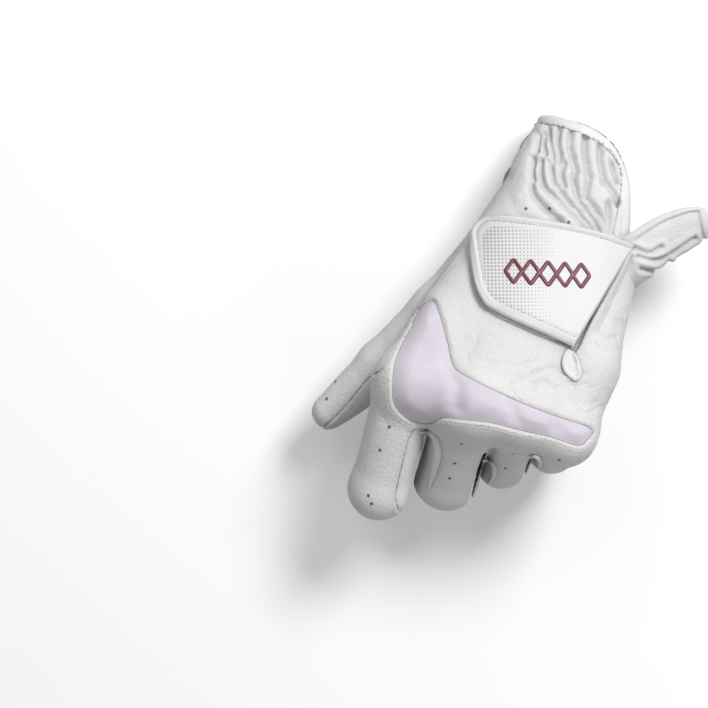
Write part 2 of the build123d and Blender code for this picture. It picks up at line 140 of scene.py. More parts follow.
def poly_sd(V, poly):
    """Signed distance to a closed outline, negative inside."""
    poly = np.asarray(poly, float)
    d = np.full(len(V), 1e9)
    inside = np.zeros(len(V), bool)
    j = len(poly) - 1
    for i in range(len(poly)):
        a, b = poly[j], poly[i]
        e = b - a
        w = V - a
        t = np.clip((w @ e) / max(e @ e, 1e-9), 0, 1)
        q = w - t[:, None] * e
        d = np.minimum(d, (q * q).sum(1))
        c = (a[1] > V[:, 1]) != (b[1] > V[:, 1])
        with np.errstate(divide="ignore", invalid="ignore"):
            x = (b[0] - a[0]) * (V[:, 1] - a[1]) / (b[1] - a[1]) + a[0]
        inside ^= c & (V[:, 0] < x)
        j = i
    d = np.sqrt(d)
    return np.where(inside, -d, d)


def line_d(V, line):
    """Distance to an open line, and length run along it."""
    line = np.asarray(line, float)
    best = np.full(len(V), 1e9); run = np.zeros(len(V)); side = np.zeros(len(V))
    s = 0.0
    for a, b in zip(line[:-1], line[1:]):
        e = b - a; L = np.linalg.norm(e)
        w = V - a
        t = np.clip((w @ e) / max(L * L, 1e-9), 0, 1)
        q = w - t[:, None] * e
        d = np.sqrt((q * q).sum(1))
        m = d < best
        best[m] = d[m]; run[m] = (s + t * L)[m]
        side[m] = np.sign(e[0] * w[:, 1] - e[1] * w[:, 0])[m]
        s += L
    return best, run, side


def smooth_line(points, step=1.0, closed=False):
    """Catmull-Rom curve through points, resampled."""
    p = np.asarray(points, float)
    if closed:
        p = np.vstack([p[-1], p, p[0], p[1]])
    else:
        p = np.vstack([2 * p[0] - p[1], p, 2 * p[-1] - p[-2]])
    out = []
    for i in range(1, len(p) - 2):
        n = max(2, int(np.linalg.norm(p[i + 1] - p[i]) / step) + 1)
        t = np.linspace(0, 1, n, endpoint=False)[:, None]
        out.append(0.5 * ((2 * p[i]) + (-p[i - 1] + p[i + 1]) * t + (2 * p[i - 1] - 5 * p[i] + 4 * p[i + 1] - p[i + 2]) * t ** 2 + (-p[i - 1] + 3 * p[i] - 3 * p[i + 1] + p[i + 2]) * t ** 3))
    if not closed:
        out.append(p[-2:-1])
    return np.vstack(out)


_lat = rng.random((64, 64, 64)).astype(np.float32)


def noise(P, scale, seed=0):
    """Smooth value noise, -1 to 1."""
    q = P / scale + seed * 7.31
    i = np.floor(q).astype(int); f = q - i
    f = f * f * (3 - 2 * f)
    r = 0
    for dx in (0, 1):
        for dy in (0, 1):
            for dz in (0, 1):
                w = (f[:, 0] if dx else 1 - f[:, 0]) * (f[:, 1] if dy else 1 - f[:, 1]) * (f[:, 2] if dz else 1 - f[:, 2])
                r = r + w * _lat[(i[:, 0] + dx) % 64, (i[:, 1] + dy) % 64, (i[:, 2] + dz) % 64]
    return r * 2 - 1

# ------------------------------------------------------------------ outlines
# drawn on the plane Z = 0 of the design frame, in millimetres
TAB = [(117.0, 39.4), (107.6, 47.3), (93.2, 56.0), (82.0, 61.3), (74.0, 63.3), (69.2, 63.1), (65.9, 60.8), (63.8, 57.2), (61.7, 51.0), (60.2, 42.8), (60.8, 36.6), (62.7, 33.3), (70.1, 25.7), (80.1, 16.7), (86.3, 11.0)]
TAB_PANEL = [(115.5, 38.6), (106.9, 45.2), (95.4, 52.2), (85.0, 57.2), (74.7, 61.5), (70.9, 61.7), (67.8, 59.7), (66.5, 56.3), (64.8, 49.9), (63.4, 42.6), (63.9, 38.2), (65.8, 34.7), (73.4, 27.6), (81.2, 20.2), (87.7, 14.0)]
INSERT = [(43.5, 43.6), (44.8, 42.0), (45.0, 36.2), (44.5, 27.1), (44.0, 18.2), (49.1, 11.8), (57.7, 3.2), (65.5, -3.8), (74.0, -10.6), (83.4, -18.2), (80.4, -21.7), (76.6, -22.2), (68.5, -16.3), (60.1, -11.3), (50.6, -5.2), (40.6, -0.5), (34.4, 2.3), (29.9, 1.7), (27.2, 2.2), (23.6, 4.5), (20.6, 8.4), (19.3, 13.2), (21.1, 19.7), (23.9, 26.0), (28.4, 31.7), (33.6, 36.5), (36.5, 39.8), (39.2, 42.5)]
HEM = [(95.5, 96.5), (99.9, 94.0), (106.1, 91.2), (116.9, 83.8), (122.4, 75.6), (124.0, 65.6), (121.9, 55.0), (116.6, 40.2)]
HEM_IN = [(100.4, 91.0), (105.9, 88.2), (111.1, 84.5), (115.5, 80.6), (120.3, 75.0), (122.3, 68.6), (121.8, 63.4), (118.8, 56.3), (114.8, 49.3), (112.3, 44.7)]
SLIT = [(116.7, 40.6), (88.2, 11.7), (85.8, 10.7), (85.3, 6.3), (87.2, 1.9), (85.4, -2.4)]
TEARDROP = [(83.2, 8.3), (81.3, 4.7), (81.7, 1.6), (84.5, -0.7), (86.5, 0.0)]
INDEX_SEAM = [(23.1, 1.5), (20.0, -1.5), (16.0, -7.6), (12.3, -13.7), (9.3, -19.4), (8.7, -24.3)]
THUMB_SEAM = [(19.6, 25.9), (14.0, 24.4), (8.6, 21.2), (2.2, 17.1), (-3.0, 14.4), (-7.0, 12.7)]
HOLES = [(15.1, 5.3), (9.3, -1.5), (0.2, -15.6), (0.4, -18.7), (37.5, -8.8), (33.1, -14.4), (29.7, -18.9), (53.8, -18.1), (49.7, -21.9), (68.8, -25.4), (20.2, 41.0), (14.6, 37.0), (2.0, 26.8), (-2.9, 21.9), (86.0, 63.4), (94.1, 61.1), (98.8, 54.1)]
VALLEYS = [
    [(106.4, 87.5), (104.1, 82.5), (103.5, 78.1), (102.4, 75.6)],
    [(109.7, 84.7), (107.9, 80.1), (107.5, 74.5), (107.1, 71.7)],
    [(114.4, 81.4), (112.4, 76.3), (111.6, 71.3), (110.6, 68.2)],
    [(118.7, 77.0), (116.9, 72.5), (116.1, 67.5), (115.2, 63.8)],
    [(121.5, 72.1), (120.3, 67.9), (120.1, 62.2)],
    [(102.6, 88.2), (101.9, 84.4), (101.4, 80.5), (100.7, 76.7)],
    [(100.8, 87.3), (99.3, 83.5), (99.0, 80.2)],
    [(99.0, 87.1), (96.3, 82.2)],
    [(94.2, 79.5), (92.3, 75.5), (91.9, 72.7)],
    [(96.6, 78.1), (94.9, 74.0), (94.6, 69.5)],
    [(99.2, 77.2), (99.0, 73.3), (98.0, 68.4)],
    [(104.2, 75.0), (101.9, 71.7), (101.6, 67.2)],
    [(107.5, 71.0), (105.4, 68.2), (105.0, 63.7)],
    [(111.6, 67.9), (109.4, 64.6), (107.5, 60.6)],
    [(116.3, 62.9), (117.7, 58.4), (117.7, 54.9)],
    [(90.5, 70.9), (90.2, 67.6), (91.7, 63.6), (93.8, 59.4), (96.4, 55.1)],
    [(94.2, 70.8), (95.7, 66.9), (97.6, 63.9), (99.7, 59.8), (102.4, 54.2), (105.2, 48.7)],
    [(99.3, 68.0), (100.6, 62.4), (102.6, 58.2), (105.2, 52.2), (107.1, 47.5)],
    [(104.5, 63.9), (105.9, 57.7), (107.5, 52.0), (109.2, 46.8)],
    [(107.5, 60.6), (109.0, 56.7), (110.7, 51.5), (110.9, 46.8)],
    [(114.5, 56.0), (112.8, 50.8), (111.2, 46.7)],
]
FLAP_WRINKLES = [[(118.5, 35.0), (123.3, 32.3), (130.2, 32.3), (139.8, 34.9)], [(118.1, 30.6), (123.7, 28.1), (128.3, 30.0)], [(117.5, 38.9), (122.5, 34.9), (127.3, 35.6)]]
INSERT_C = smooth_line(INSERT, 0.8, True)
TAB_C = np.vstack([smooth_line(TAB, 0.7), [TAB[0]]])
HEM_C = smooth_line(HEM, 0.8)
HEM_OPEN = np.vstack([HEM_C, [(114.2, 36.5), (115.5, 15.0), (118.0, -40.0), (220, -40), (220, 170), (95.5, 170)]])
SLIT_C = smooth_line(SLIT[:4], 0.7)
SLIT_GAP = np.vstack([SLIT_C + [0.35, -0.35], SLIT_C[::-1] + [-0.35, 0.35]])

CROTCH = [("index", "middle", -1.0), ("middle", "ring", -15.8), ("ring", "little", -24.0)]
GAP_X = {("index", "middle"): 26.8, ("middle", "ring"): 52.4, ("ring", "little"): 72.4}
XI = lambda P: P[:, 0] - 0.662 * P[:, 1]


def form(P):
    """The glove's closed skin, mm: hand, bore for the handle, finger gaps, cuff cavity."""
    D = outer(P)
    r = np.sqrt(P[:, 1] ** 2 + P[:, 2] ** 2)
    D = smax(D, GRIP_R - r, 1.2)
    q = P[:, 1] / 0.834
    for a, b, qc in CROTCH:
        away = np.abs(XI(P) - GAP_X[(a, b)]) * 0.834 - 0.62
        reach = np.minimum(q - qc, P[:, 2] + 10)
        D = np.maximum(D, -np.maximum(away, reach))
    V = view_xy(P)
    D = np.maximum(D, -poly_sd(V, HEM_OPEN))
    s = (P - K0) @ AXH
    hand = hand_sdf(P)
    hollow = np.maximum(hand + 1.5, 62 - s)
    D = np.maximum(D, -hollow)
    slit = np.maximum(poly_sd(V, SLIT_GAP), 4 - P[:, 2])
    slit = np.maximum(slit, -(hand + 1.6))
    return np.maximum(D, -slit)


# ------------------------------------------------------------------ skin mesh
VOX = 0.65
LO = np.array([-14.0, -36.0, -33.0]); HI = np.array([132.0, 100.0, 50.0])


def extract(field):
    n = np.ceil((HI - LO) / VOX).astype(int)
    n = (n + 3) // 4 * 4
    c = n // 4
    ax = [LO[k] + (np.arange(c[k]) + 0.5) * 4 * VOX - 0.5 * VOX for k in range(3)]
    g = np.stack(np.meshgrid(*ax, indexing="ij"), -1).reshape(-1, 3)
    near = np.abs(outer(g)) < 4 * VOX * 1.0 + 3.5
    near |= (np.abs(np.hypot(g[:, 1], g[:, 2]) - GRIP_R) < 5) & (outer(g) < 5)
    s = (g - K0) @ AXH
    near |= (s > 55) & (hand_sdf(g) < 5) & (hand_sdf(g) > -9)
    near |= (np.abs(s - 62) < 6) & (outer(g) < 5)
    F = form(g)
    near |= np.abs(F) < 3.6 * VOX
    sign = np.where(F < 0, -3.0, 3.0).astype(np.float32)
    arr = np.repeat(np.repeat(np.repeat(sign.reshape(c), 4, 0), 4, 1), 4, 2)
    idx = np.argwhere(near.reshape(c))
    off = np.stack(np.meshgrid(*[np.arange(4)] * 3, indexing="ij"), -1).reshape(-1, 3)
    for k in range(0, len(idx), 6000):
        cells = (idx[k:k + 6000, None, :] * 4 + off[None]).reshape(-1, 3)
        P = LO + cells * VOX
        arr[cells[:, 0], cells[:, 1], cells[:, 2]] = np.clip(field(P), -3, 3)
    grid = vdb.FloatGrid(3.0)
    grid.copyFromArray(arr)
    pts, quads = grid.convertToQuads(isovalue=0.0)
    return np.asarray(pts, float) * VOX + LO, np.asarray(quads, int)


import time
t_start = time.time()
P0, Q0 = extract(form)
print("skin", len(P0), len(Q0), round(time.time() - t_start, 1))

# ------------------------------------------------------------------ skin relief
def vertex_normals(P, Q):
    n = np.zeros_like(P)
    fn = np.cross(P[Q[:, 2]] - P[Q[:, 0]], P[Q[:, 3]] - P[Q[:, 1]])
    for k in range(4):
        np.add.at(n, Q[:, k], fn)
    return n / np.maximum(np.linalg.norm(n, axis=1), 1e-9)[:, None]


def step01(x):
    x = np.clip(x, 0, 1)
    return x * x * (3 - 2 * x)


def gauss(d, w):
    return np.exp(-(d / w) ** 2)


# quads as the converter winds them point inwards
N0 = vertex_normals(P0, Q0)
c0 = P0.mean(0)
if np.mean(((P0 - c0) * N0).sum(1)) < 0:
    Q0 = Q0[:, ::-1]
    N0 = -N0
V0 = view_xy(P0)
HB = (P0 - K0) @ HBACK
ST = (P0 - K0) @ AXH
hand0 = np.abs(outer(P0)) < 0.9
top0 = (N0[:, 2] > -0.25) & (HB > -1.0) & hand0
sd_ins = poly_sd(V0, INSERT_C)
sd_ins[~(top0 & (P0[:, 2] > 17))] = 50
d_hem, w_hem, _ = line_d(V0, HEM_C)
d_hin, _, _ = line_d(V0, HEM_IN)
relief = np.zeros(len(P0))
# leather laps over the stretch insert
INS_DIPS = [(42.4, 10.8), (59.3, -3.8), (71.7, -14.0)]


def insert_relief(sd, V):
    h = np.where((sd > 0) & (sd < 30), 0.62 * step01(sd / 0.75) * (1 - step01((sd - 1.0) / 7)), 0)
    puff = step01(-sd / 6.5)
    for c in INS_DIPS:
        u = (V - np.array(c)) @ np.array([0.948, -0.317])
        puff = puff - 1.15 * gauss(u, 3.4) * step01(-sd / 5.0)
    return h + np.where(sd < 0, 1.25 * puff - 0.25 * gauss(sd, 1.1), -0.25)


# folded hem of the cuff
cuff = (ST > 50) & hand0
band = cuff & (d_hem < 4.6)
relief += np.where(band, 0.45 * step01((3.6 - d_hem) / 0.8), 0)
relief -= np.where(cuff & top0, 0.55 * gauss(d_hin, 0.45), 0)
# gathered pleats
zone = cuff & top0 & (d_hem > 3.0)
dv = np.full(len(P0), 99.0)
for line in VALLEYS:
    d, _, _ = line_d(V0, smooth_line(line, 0.8))
    dv = np.minimum(dv, d)
pleat = step01((9.0 - dv) / 5.0)
relief += np.where(zone & (dv < 9), pleat * (2.0 * (1 - gauss(dv, 1.2)) - 1.3), 0)
wob = noise(P0, 2.6, 3)
relief += np.where(zone & (dv < 7), 0.28 * wob, 0)
# creases by the slit, over the little-finger side and the lower back
def creases(mask_c, rad, amp, scale, seed, stretch):
    m = step01(1 - np.linalg.norm((V0 - mask_c) / rad, axis=1)) * top0
    q = P0 @ stretch
    n1 = 1 - np.abs(noise(q, scale, seed)) * 2
    n2 = 1 - np.abs(noise(q, scale * 0.55, seed + 5)) * 2
    return -amp * m * (np.clip(n1, 0, 1) ** 3 + 0.5 * np.clip(n2, 0, 1) ** 3)


LEA = np.where(sd_ins > 1.0, 1.0, 0.0)
relief += LEA * creases(np.array([73.0, 4.0]), np.array([26.0, 16.0]), 0.75, 6.5, 11, np.diag([1.0, 1.6, 1.0]))
relief += LEA * creases(np.array([56.0, 22.0]), np.array([18.0, 18.0]), 0.45, 8.0, 15, np.diag([1.5, 0.9, 1.0]))
relief += LEA * creases(np.array([99.0, 16.0]), np.array([16.0, 26.0]), 0.70, 6.0, 21, np.diag([1.3, 1.0, 1.0]))
relief += LEA * creases(np.array([84.0, -12.0]), np.array([18.0, 12.0]), 0.5, 6.0, 27, np.diag([1.0, 1.5, 1.0]))
relief += LEA * creases(np.array([60.0, 68.0]), np.array([30.0, 16.0]), 0.35, 9.0, 31, np.diag([1.0, 1.5, 1.0]))
# seams on the forefinger and thumb
d_is, _, side_is = line_d(V0, smooth_line(INDEX_SEAM, 0.7))
m = (N0[:, 2] > -0.35) & (P0[:, 0] < 26) & (P0[:, 1] < 6)
relief -= np.where(m, 0.42 * gauss(d_is, 0.42), 0)
relief += np.where(m & (side_is < 0), 0.28 * gauss(d_is - 1.1, 0.9), 0)
d_ts, _, side_ts = line_d(V0, smooth_line(THUMB_SEAM, 0.7))
m = (N0[:, 2] > -0.35) & (P0[:, 1] > 8) & (P0[:, 0] < 24)
relief -= np.where(m, 0.42 * gauss(d_ts, 0.42), 0)
relief += np.where(m & (side_ts > 0), 0.25 * gauss(d_ts - 1.0, 0.9), 0)
d_td, _, _ = line_d(V0, smooth_line(TEARDROP, 0.6))
relief += np.where(top0, 0.35 * gauss(d_td, 0.8), 0)
# soft unevenness of worn leather
relief += hand0 * LEA * (0.22 * noise(P0, 13, 41) + 0.09 * noise(P0, 5, 43))
relief += hand0 * (1 - LEA) * 0.12 * noise(P0, 9, 47)
relief[~hand0] = 0

# vertices on the insert's edge move onto its outline
def face_mean(x):
    return x[Q0].mean(1)


fc = P0[Q0].mean(1)
f_ins = face_mean(sd_ins) < 0
edge = np.zeros(len(P0), int)
np.bitwise_or.at(edge, Q0[f_ins].ravel(), 1)
np.bitwise_or.at(edge, Q0[~f_ins].ravel(), 2)
near_rim = np.where((edge > 0) & (np.abs(sd_ins) < 1.6))[0]
want = {3: 0.0, 1: -0.62 * VOX, 2: 0.62 * VOX}
for _ in range(3):
    rim = near_rim
    v = V0[rim]; e = 0.05
    s0 = poly_sd(v, INSERT_C)
    kind_ = edge[rim]
    goal = np.where(kind_ == 3, 0.0, np.where(kind_ == 1, np.minimum(s0, want[1]), np.maximum(s0, want[2])))
    g = np.stack([(poly_sd(v + [e, 0], INSERT_C) - s0) / e, (poly_sd(v + [0, e], INSERT_C) - s0) / e], 1)
    g /= np.maximum(np.linalg.norm(g, axis=1), 1e-6)[:, None]
    mv = (goal - s0)[:, None] * g
    dz = -(N0[rim, 0] * mv[:, 0] + N0[rim, 1] * mv[:, 1]) / np.maximum(N0[rim, 2], 0.3)
    P0[rim] += np.column_stack([mv, dz])
    V0[rim] = view_xy(P0[rim])
sd_new = sd_ins.copy()
sd_new[near_rim] = poly_sd(V0[near_rim], INSERT_C)
sd_new[near_rim[edge[near_rim] == 3]] = 0.0
at_top = sd_ins < 40
relief += np.where(at_top, insert_relief(sd_new, V0), 0)
P1 = P0 + N0 * relief[:, None]
P1[:, 2] = np.maximum(P1[:, 2], -28.55)
N1 = vertex_normals(P1, Q0)
print("relief", round(time.time() - t_start, 1))

# ------------------------------------------------------------------ which piece each face is
qz = lambda n, i: fp(FING[n]["X"], FING[n]["p"][i])
unit = lambda v: np.asarray(v, float) / np.linalg.norm(v)
HINGE = {}
for n in NAMES:
    a, b, c, d = (qz(n, i) for i in range(4))
    HINGE[n] = (b, unit(unit(c - b) - unit(a - b)), c, unit(unit(d - c) - unit(b - c)))
fx = XI(fc)
fd = np.stack([finger_sdf(fc, FING[n]) for n in NAMES], 1)
slot_of = np.select([fx < 26.8, fx < 52.4, fx < 72.4], [0, 1, 2], 3)
hd = np.minimum(hand_sdf(fc), thumb_sdf(fc))
td = thumb_sdf(fc)
label = np.full(len(fc), "", dtype=object)
s_f = (fc - K0) @ AXH
hb_f = (fc - K0) @ HBACK
label[:] = "palm"
label[(hb_f > 2.0) & (s_f > -20)] = "back"
dh_f = face_mean(d_hem)
label[(dh_f < 3.6) & (s_f > 50)] = "hem"
T1 = np.array(THUMB[1], float); T2 = np.array(THUMB[2], float)
tu = unit(T2 - T1)
on_thumb = (td < np.minimum(fd.min(1), hand_sdf(fc))) | (td < -0.5)
label[on_thumb & ((fc - np.array([58, 43.8, 0])) @ tu > 0)] = "thumb"
label[on_thumb & ((fc - T2) @ tu > -4.0)] = "thumbtip"
START = {"index": 18.0, "middle": 14.0, "ring": 11.0, "little": 10.0}
for i, n in enumerate(NAMES):
    a, b = qz(n, 0), qz(n, 1)
    B, d1, C, d2 = HINGE[n]
    mine = (slot_of == i) & (fd[:, i] < 1.5) & ~on_thumb
    sleeve = mine & ((fc - a) @ unit(b - a) > START[n])
    label[sleeve] = "sleeve_" + n
    t1 = (fc - B) @ d1; t2 = (fc - C) @ d2
    seg = mine & (t1 > -4.0)
    label[seg] = "mid_" + n
    label[seg & (t2 > -3.2)] = "tip_" + n
label[f_ins] = "insert"
for (a, b), gx in GAP_X.items():
    w = {"index": 3.9, "middle": 2.5, "ring": 2.3}[a]
    strip = (np.abs(fx - gx) * 0.834 < w) & np.isin(label, ["sleeve_" + a, "sleeve_" + b])
    label[strip] = "gusset_" + a + "_" + b
print("labels", {k: int((label == k).sum()) for k in sorted(set(label))})

# ------------------------------------------------------------------ building objects
def to_row(P):
    return (np.asarray(P) + SHIFT) / 1000


def make(name, P, faces, normals=None, smooth=True):
    me = bpy.data.meshes.new(name)
    P = to_row(P)
    if isinstance(faces, np.ndarray) and (P[:, 2] < -0.0003).any():
        # anything laid past the edge of the glove is left off
        faces = faces[(P[faces][:, :, 2] >= -0.0003).all(1)]
        used, inv = np.unique(faces.ravel(), return_inverse=True)
        P, faces = P[used], inv.reshape(-1, faces.shape[1])
        normals = None if normals is None else normals[used]
        print("trimmed", name, len(P))
    me.vertices.add(len(P)); me.vertices.foreach_set("co", P.ravel())
    faces = [np.asarray(f, int) for f in faces] if isinstance(faces, list) else faces
    if isinstance(faces, np.ndarray):
        k = faces.shape[1]
        me.loops.add(faces.size); me.loops.foreach_set("vertex_index", faces.ravel())
        me.polygons.add(len(faces))
        me.polygons.foreach_set("loop_start", np.arange(0, faces.size, k))
        me.polygons.foreach_set("loop_total", np.full(len(faces), k))
    else:
        flat = np.concatenate(faces); tot = np.array([len(f) for f in faces])
        me.loops.add(len(flat)); me.loops.foreach_set("vertex_index", flat)
        me.polygons.add(len(faces))
        me.polygons.foreach_set("loop_start", np.concatenate([[0], np.cumsum(tot)[:-1]]))
        me.polygons.foreach_set("loop_total", tot)
    me.update(calc_edges=True); me.validate()
    me.polygons.foreach_set("use_smooth", np.full(len(me.polygons), smooth))
    ob = bpy.data.objects.new(name, me)
    bpy.context.scene.collection.objects.link(ob)
    if normals is not None:
        me.normals_split_custom_set_from_vertices(normals.astype(np.float32))
    return ob


def subset(name, keep):
    used, inv = np.unique(Q0[keep].ravel(), return_inverse=True)
    return make(name, P1[used], inv.reshape(-1, 4), N1[used])

# ------------------------------------------------------------------ materials
def material(name, base, rough, sheen=0.0, coat=0.0, spec=0.4):
    m = bpy.data.materials.new(name); m.use_nodes = True
    nt = m.node_tree; b = nt.nodes["Principled BSDF"]
    b.inputs["Base Color"].default_value = (*base, 1)
    b.inputs["Roughness"].default_value = rough
    b.inputs["Specular IOR Level"].default_value = spec
    b.inputs["Sheen Weight"].default_value = sheen
    b.inputs["Sheen Roughness"].default_value = 0.5
    b.inputs["Coat Weight"].default_value = coat
    return m, nt, b


def node(nt, kind, **values):
    n = nt.nodes.new(kind)
    for k, v in values.items():
        if k in n.inputs:
            n.inputs[k].default_value = v
        else:
            setattr(n, k, v)
    return n


def coords(nt, scale=1000.0, rot=(0, 0, 0)):
    tc = nt.nodes.new("ShaderNodeTexCoord")
    mp = nt.nodes.new("ShaderNodeMapping")
    mp.inputs["Scale"].default_value = (scale,) * 3
    mp.inputs["Rotation"].default_value = rot
    nt.links.new(tc.outputs["Object"], mp.inputs["Vector"])
    return mp


def leather(name, base, dark, rough=0.55, grain=0.5, spec=0.35):
    """Fine pebbled leather: cell grain, pores and slow colour drift, with painted shade: ambient occlusion darkens the
    colour in creases and recesses.
    """
    m, nt, b = material(name, base, rough, sheen=0.12, spec=spec)
    L = nt.links.new
    mp = coords(nt)
    vor = node(nt, "ShaderNodeTexVoronoi", feature="SMOOTH_F1", Scale=1.15, Smoothness=0.6)
    fine = node(nt, "ShaderNodeTexNoise", Scale=2.6, Detail=4.0, Roughness=0.6)
    slow = node(nt, "ShaderNodeTexNoise", Scale=0.055, Detail=3.0)
    crease = node(nt, "ShaderNodeTexVoronoi", feature="DISTANCE_TO_EDGE", Scale=0.42)
    warp = node(nt, "ShaderNodeTexNoise", Scale=0.3, Detail=2.0)
    add = node(nt, "ShaderNodeVectorMath", operation="MULTIPLY_ADD")
    add.inputs[1].default_value = (2.5, 2.5, 2.5)
    for t in (vor, fine, slow, warp):
        L(mp.outputs[0], t.inputs["Vector"])
    L(warp.outputs["Color"], add.inputs[0]); L(mp.outputs[0], add.inputs[2]); L(add.outputs[0], crease.inputs["Vector"])
    cr = node(nt, "ShaderNodeMapRange"); cr.inputs["From Max"].default_value = 0.09
    L(crease.outputs["Distance"], cr.inputs["Value"])
    s1 = node(nt, "ShaderNodeMath", operation="MULTIPLY_ADD"); s1.inputs[1].default_value = 0.55
    L(vor.outputs["Distance"], s1.inputs[0]); L(fine.outputs["Fac"], s1.inputs[2])
    s2 = node(nt, "ShaderNodeMath", operation="MULTIPLY_ADD"); s2.inputs[1].default_value = 0.25
    L(cr.outputs["Result"], s2.inputs[0]); L(s1.outputs[0], s2.inputs[2])
    bump = node(nt, "ShaderNodeBump", Strength=grain); bump.inputs["Distance"].default_value = 0.00042
    L(s2.outputs[0], bump.inputs["Height"]); L(bump.outputs[0], b.inputs["Normal"])
    mix = node(nt, "ShaderNodeMix", data_type="RGBA")
    mix.inputs[6].default_value = (*base, 1); mix.inputs[7].default_value = (*dark, 1)
    ramp = node(nt, "ShaderNodeMapRange"); ramp.inputs["From Min"].default_value = 0.42; ramp.inputs["From Max"].default_value = 0.72; ramp.inputs["To Max"].default_value = 0.55
    L(slow.outputs["Fac"], ramp.inputs["Value"]); L(ramp.outputs[0], mix.inputs[0])
    # painted shade: ambient occlusion darkens the base colour in creases, recesses and between parts, for every
    # material made here
    ao = node(nt, "ShaderNodeAmbientOcclusion"); ao.inputs["Distance"].default_value = 0.005; ao.samples = 8
    L(mix.outputs[2], ao.inputs["Color"])
    painted_shade_mul = node(nt, "ShaderNodeMix", data_type="RGBA", blend_type="MULTIPLY")
    painted_crease_shade = node(nt, "ShaderNodeMapRange"); painted_crease_shade.inputs["From Min"].default_value = 0.25; painted_crease_shade.inputs["From Max"].default_value = 0.95
    painted_crease_shade.inputs["To Min"].default_value = 0.42; painted_crease_shade.inputs["To Max"].default_value = 1.0
    L(ao.outputs["AO"], painted_crease_shade.inputs["Value"])
    painted_shade_mul.inputs[0].default_value = 1.0
    L(mix.outputs[2], painted_shade_mul.inputs[6]); L(painted_crease_shade.outputs[0], painted_shade_mul.inputs[7])
    L(painted_shade_mul.outputs[2], b.inputs["Base Color"])
    rr = node(nt, "ShaderNodeMapRange"); rr.inputs["To Min"].default_value = rough - 0.07; rr.inputs["To Max"].default_value = rough + 0.12
    L(fine.outputs["Fac"], rr.inputs["Value"]); L(rr.outputs[0], b.inputs["Roughness"])
    return m


M_LEATHER = leather("white_leather", (0.86, 0.853, 0.85), (0.79, 0.785, 0.79), grain=0.6)
M_HEM = leather("hem_leather", (0.89, 0.885, 0.88), (0.83, 0.825, 0.83), rough=0.5, grain=0.4)
M_GUSSET = leather("gusset_leather", (0.85, 0.845, 0.845), (0.78, 0.775, 0.78), rough=0.6, grain=0.4)


def knit(name, base, shade):
    m, nt, b = material(name, base, 0.8, sheen=0.45, spec=0.2)
    L = nt.links.new
    mp = coords(nt, rot=(0, 0, -0.6))
    w1 = node(nt, "ShaderNodeTexWave", Scale=1.5, Distortion=0.6, Detail=1.0); w1.bands_direction = "X"
    w2 = node(nt, "ShaderNodeTexWave", Scale=1.1, Distortion=0.5, Detail=1.0); w2.bands_direction = "Y"
    n1 = node(nt, "ShaderNodeTexNoise", Scale=0.09, Detail=2.0)
    for t in (w1, w2, n1):
        L(mp.outputs[0], t.inputs["Vector"])
    mul = node(nt, "ShaderNodeMath", operation="MULTIPLY")
    L(w1.outputs["Fac"], mul.inputs[0]); L(w2.outputs["Fac"], mul.inputs[1])
    bump = node(nt, "ShaderNodeBump", Strength=0.35); bump.inputs["Distance"].default_value = 0.00015
    L(mul.outputs[0], bump.inputs["Height"]); L(bump.outputs[0], b.inputs["Normal"])
    mix = node(nt, "ShaderNodeMix", data_type="RGBA"); mix.inputs[6].default_value = (*base, 1); mix.inputs[7].default_value = (*shade, 1)
    mr = node(nt, "ShaderNodeMapRange"); mr.inputs["From Min"].default_value = 0.4; mr.inputs["From Max"].default_value = 0.7
    L(n1.outputs["Fac"], mr.inputs["Value"]); L(mr.outputs[0], mix.inputs[0]); L(mix.outputs[2], b.inputs["Base Color"])
    return m


M_KNIT = knit("stretch_fabric", (0.79, 0.735, 0.82), (0.73, 0.67, 0.77))

# ------------------------------------------------------------------ skin pieces
ROLE = {
    "palm": ("palm", ["palm_panel"], M_LEATHER, "white_leather"),
    "back": ("back_of_hand", ["back_panel"], M_LEATHER, "white_leather"),
    "insert": ("knuckle_stretch_insert", ["knuckle_insert"], M_KNIT, "stretch_fabric"),
    "hem": ("cuff_hem", ["wrist_hem"], M_HEM, "hem_leather"),
    "thumb": ("thumb_base", ["thumb_sleeve"], M_LEATHER, "white_leather"),
}
for n in NAMES:
    ROLE["sleeve_" + n] = (n + "_base", [n + "_sleeve"], M_LEATHER, "white_leather")
for a, b in GAP_X:
    ROLE["gusset_" + a + "_" + b] = ("gusset_between_" + a + "_" + b, ["gusset_" + a + "_" + b], M_GUSSET, "gusset_leather")
for key, (name, nodes, mat, slot) in ROLE.items():
    ob = subset(name, label == key)
    ob.data.materials.append(mat)
    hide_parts(*nodes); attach(ob, "hand")
for n in NAMES:
    B, d1, C, d2 = HINGE[n]
    ob = subset(n + "_middle", label == "mid_" + n)
    ob.data.materials.append(M_LEATHER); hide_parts(n + "_middle_segment")
    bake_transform(ob)
    ob = subset(n + "_end", label == "tip_" + n)
    ob.data.materials.append(M_LEATHER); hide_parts(n + "_fingertip")
    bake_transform(ob)
ob = subset("thumb_end", label == "thumbtip")
ob.data.materials.append(M_LEATHER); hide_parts("thumb_tip")
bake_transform(ob)


# ------------------------------------------------------------------ sheets sewn over the back
def shrink(P, d):
    return outer(P)


def surface_at(V, z0=58.0, low=-40.0):
    """Points of the hand's skin seen at V from the viewing point, with normals."""
    V = np.asarray(V, float)
    O = np.broadcast_to(EYE, (len(V), 3))
    D = np.column_stack([V, np.zeros(len(V))]) - EYE
    D /= np.linalg.norm(D, axis=1)[:, None]
    t = (EYE[2] - z0) / -D[:, 2]
    for _ in range(70):
        P = O + D * t[:, None]
        d = outer(P)
        t = np.where((d > 0.01) & (P[:, 2] > low), t + d * 0.85, t)
    P = O + D * t[:, None]
    return P, sdf_normal(P)


def sdf_normal(P):
    g = np.zeros_like(P)
    for k in range(3):
        e = np.zeros(3); e[k] = 0.25
        g[:, k] = outer(P + e) - outer(P - e)
    return g / np.maximum(np.linalg.norm(g, axis=1), 1e-9)[:, None]


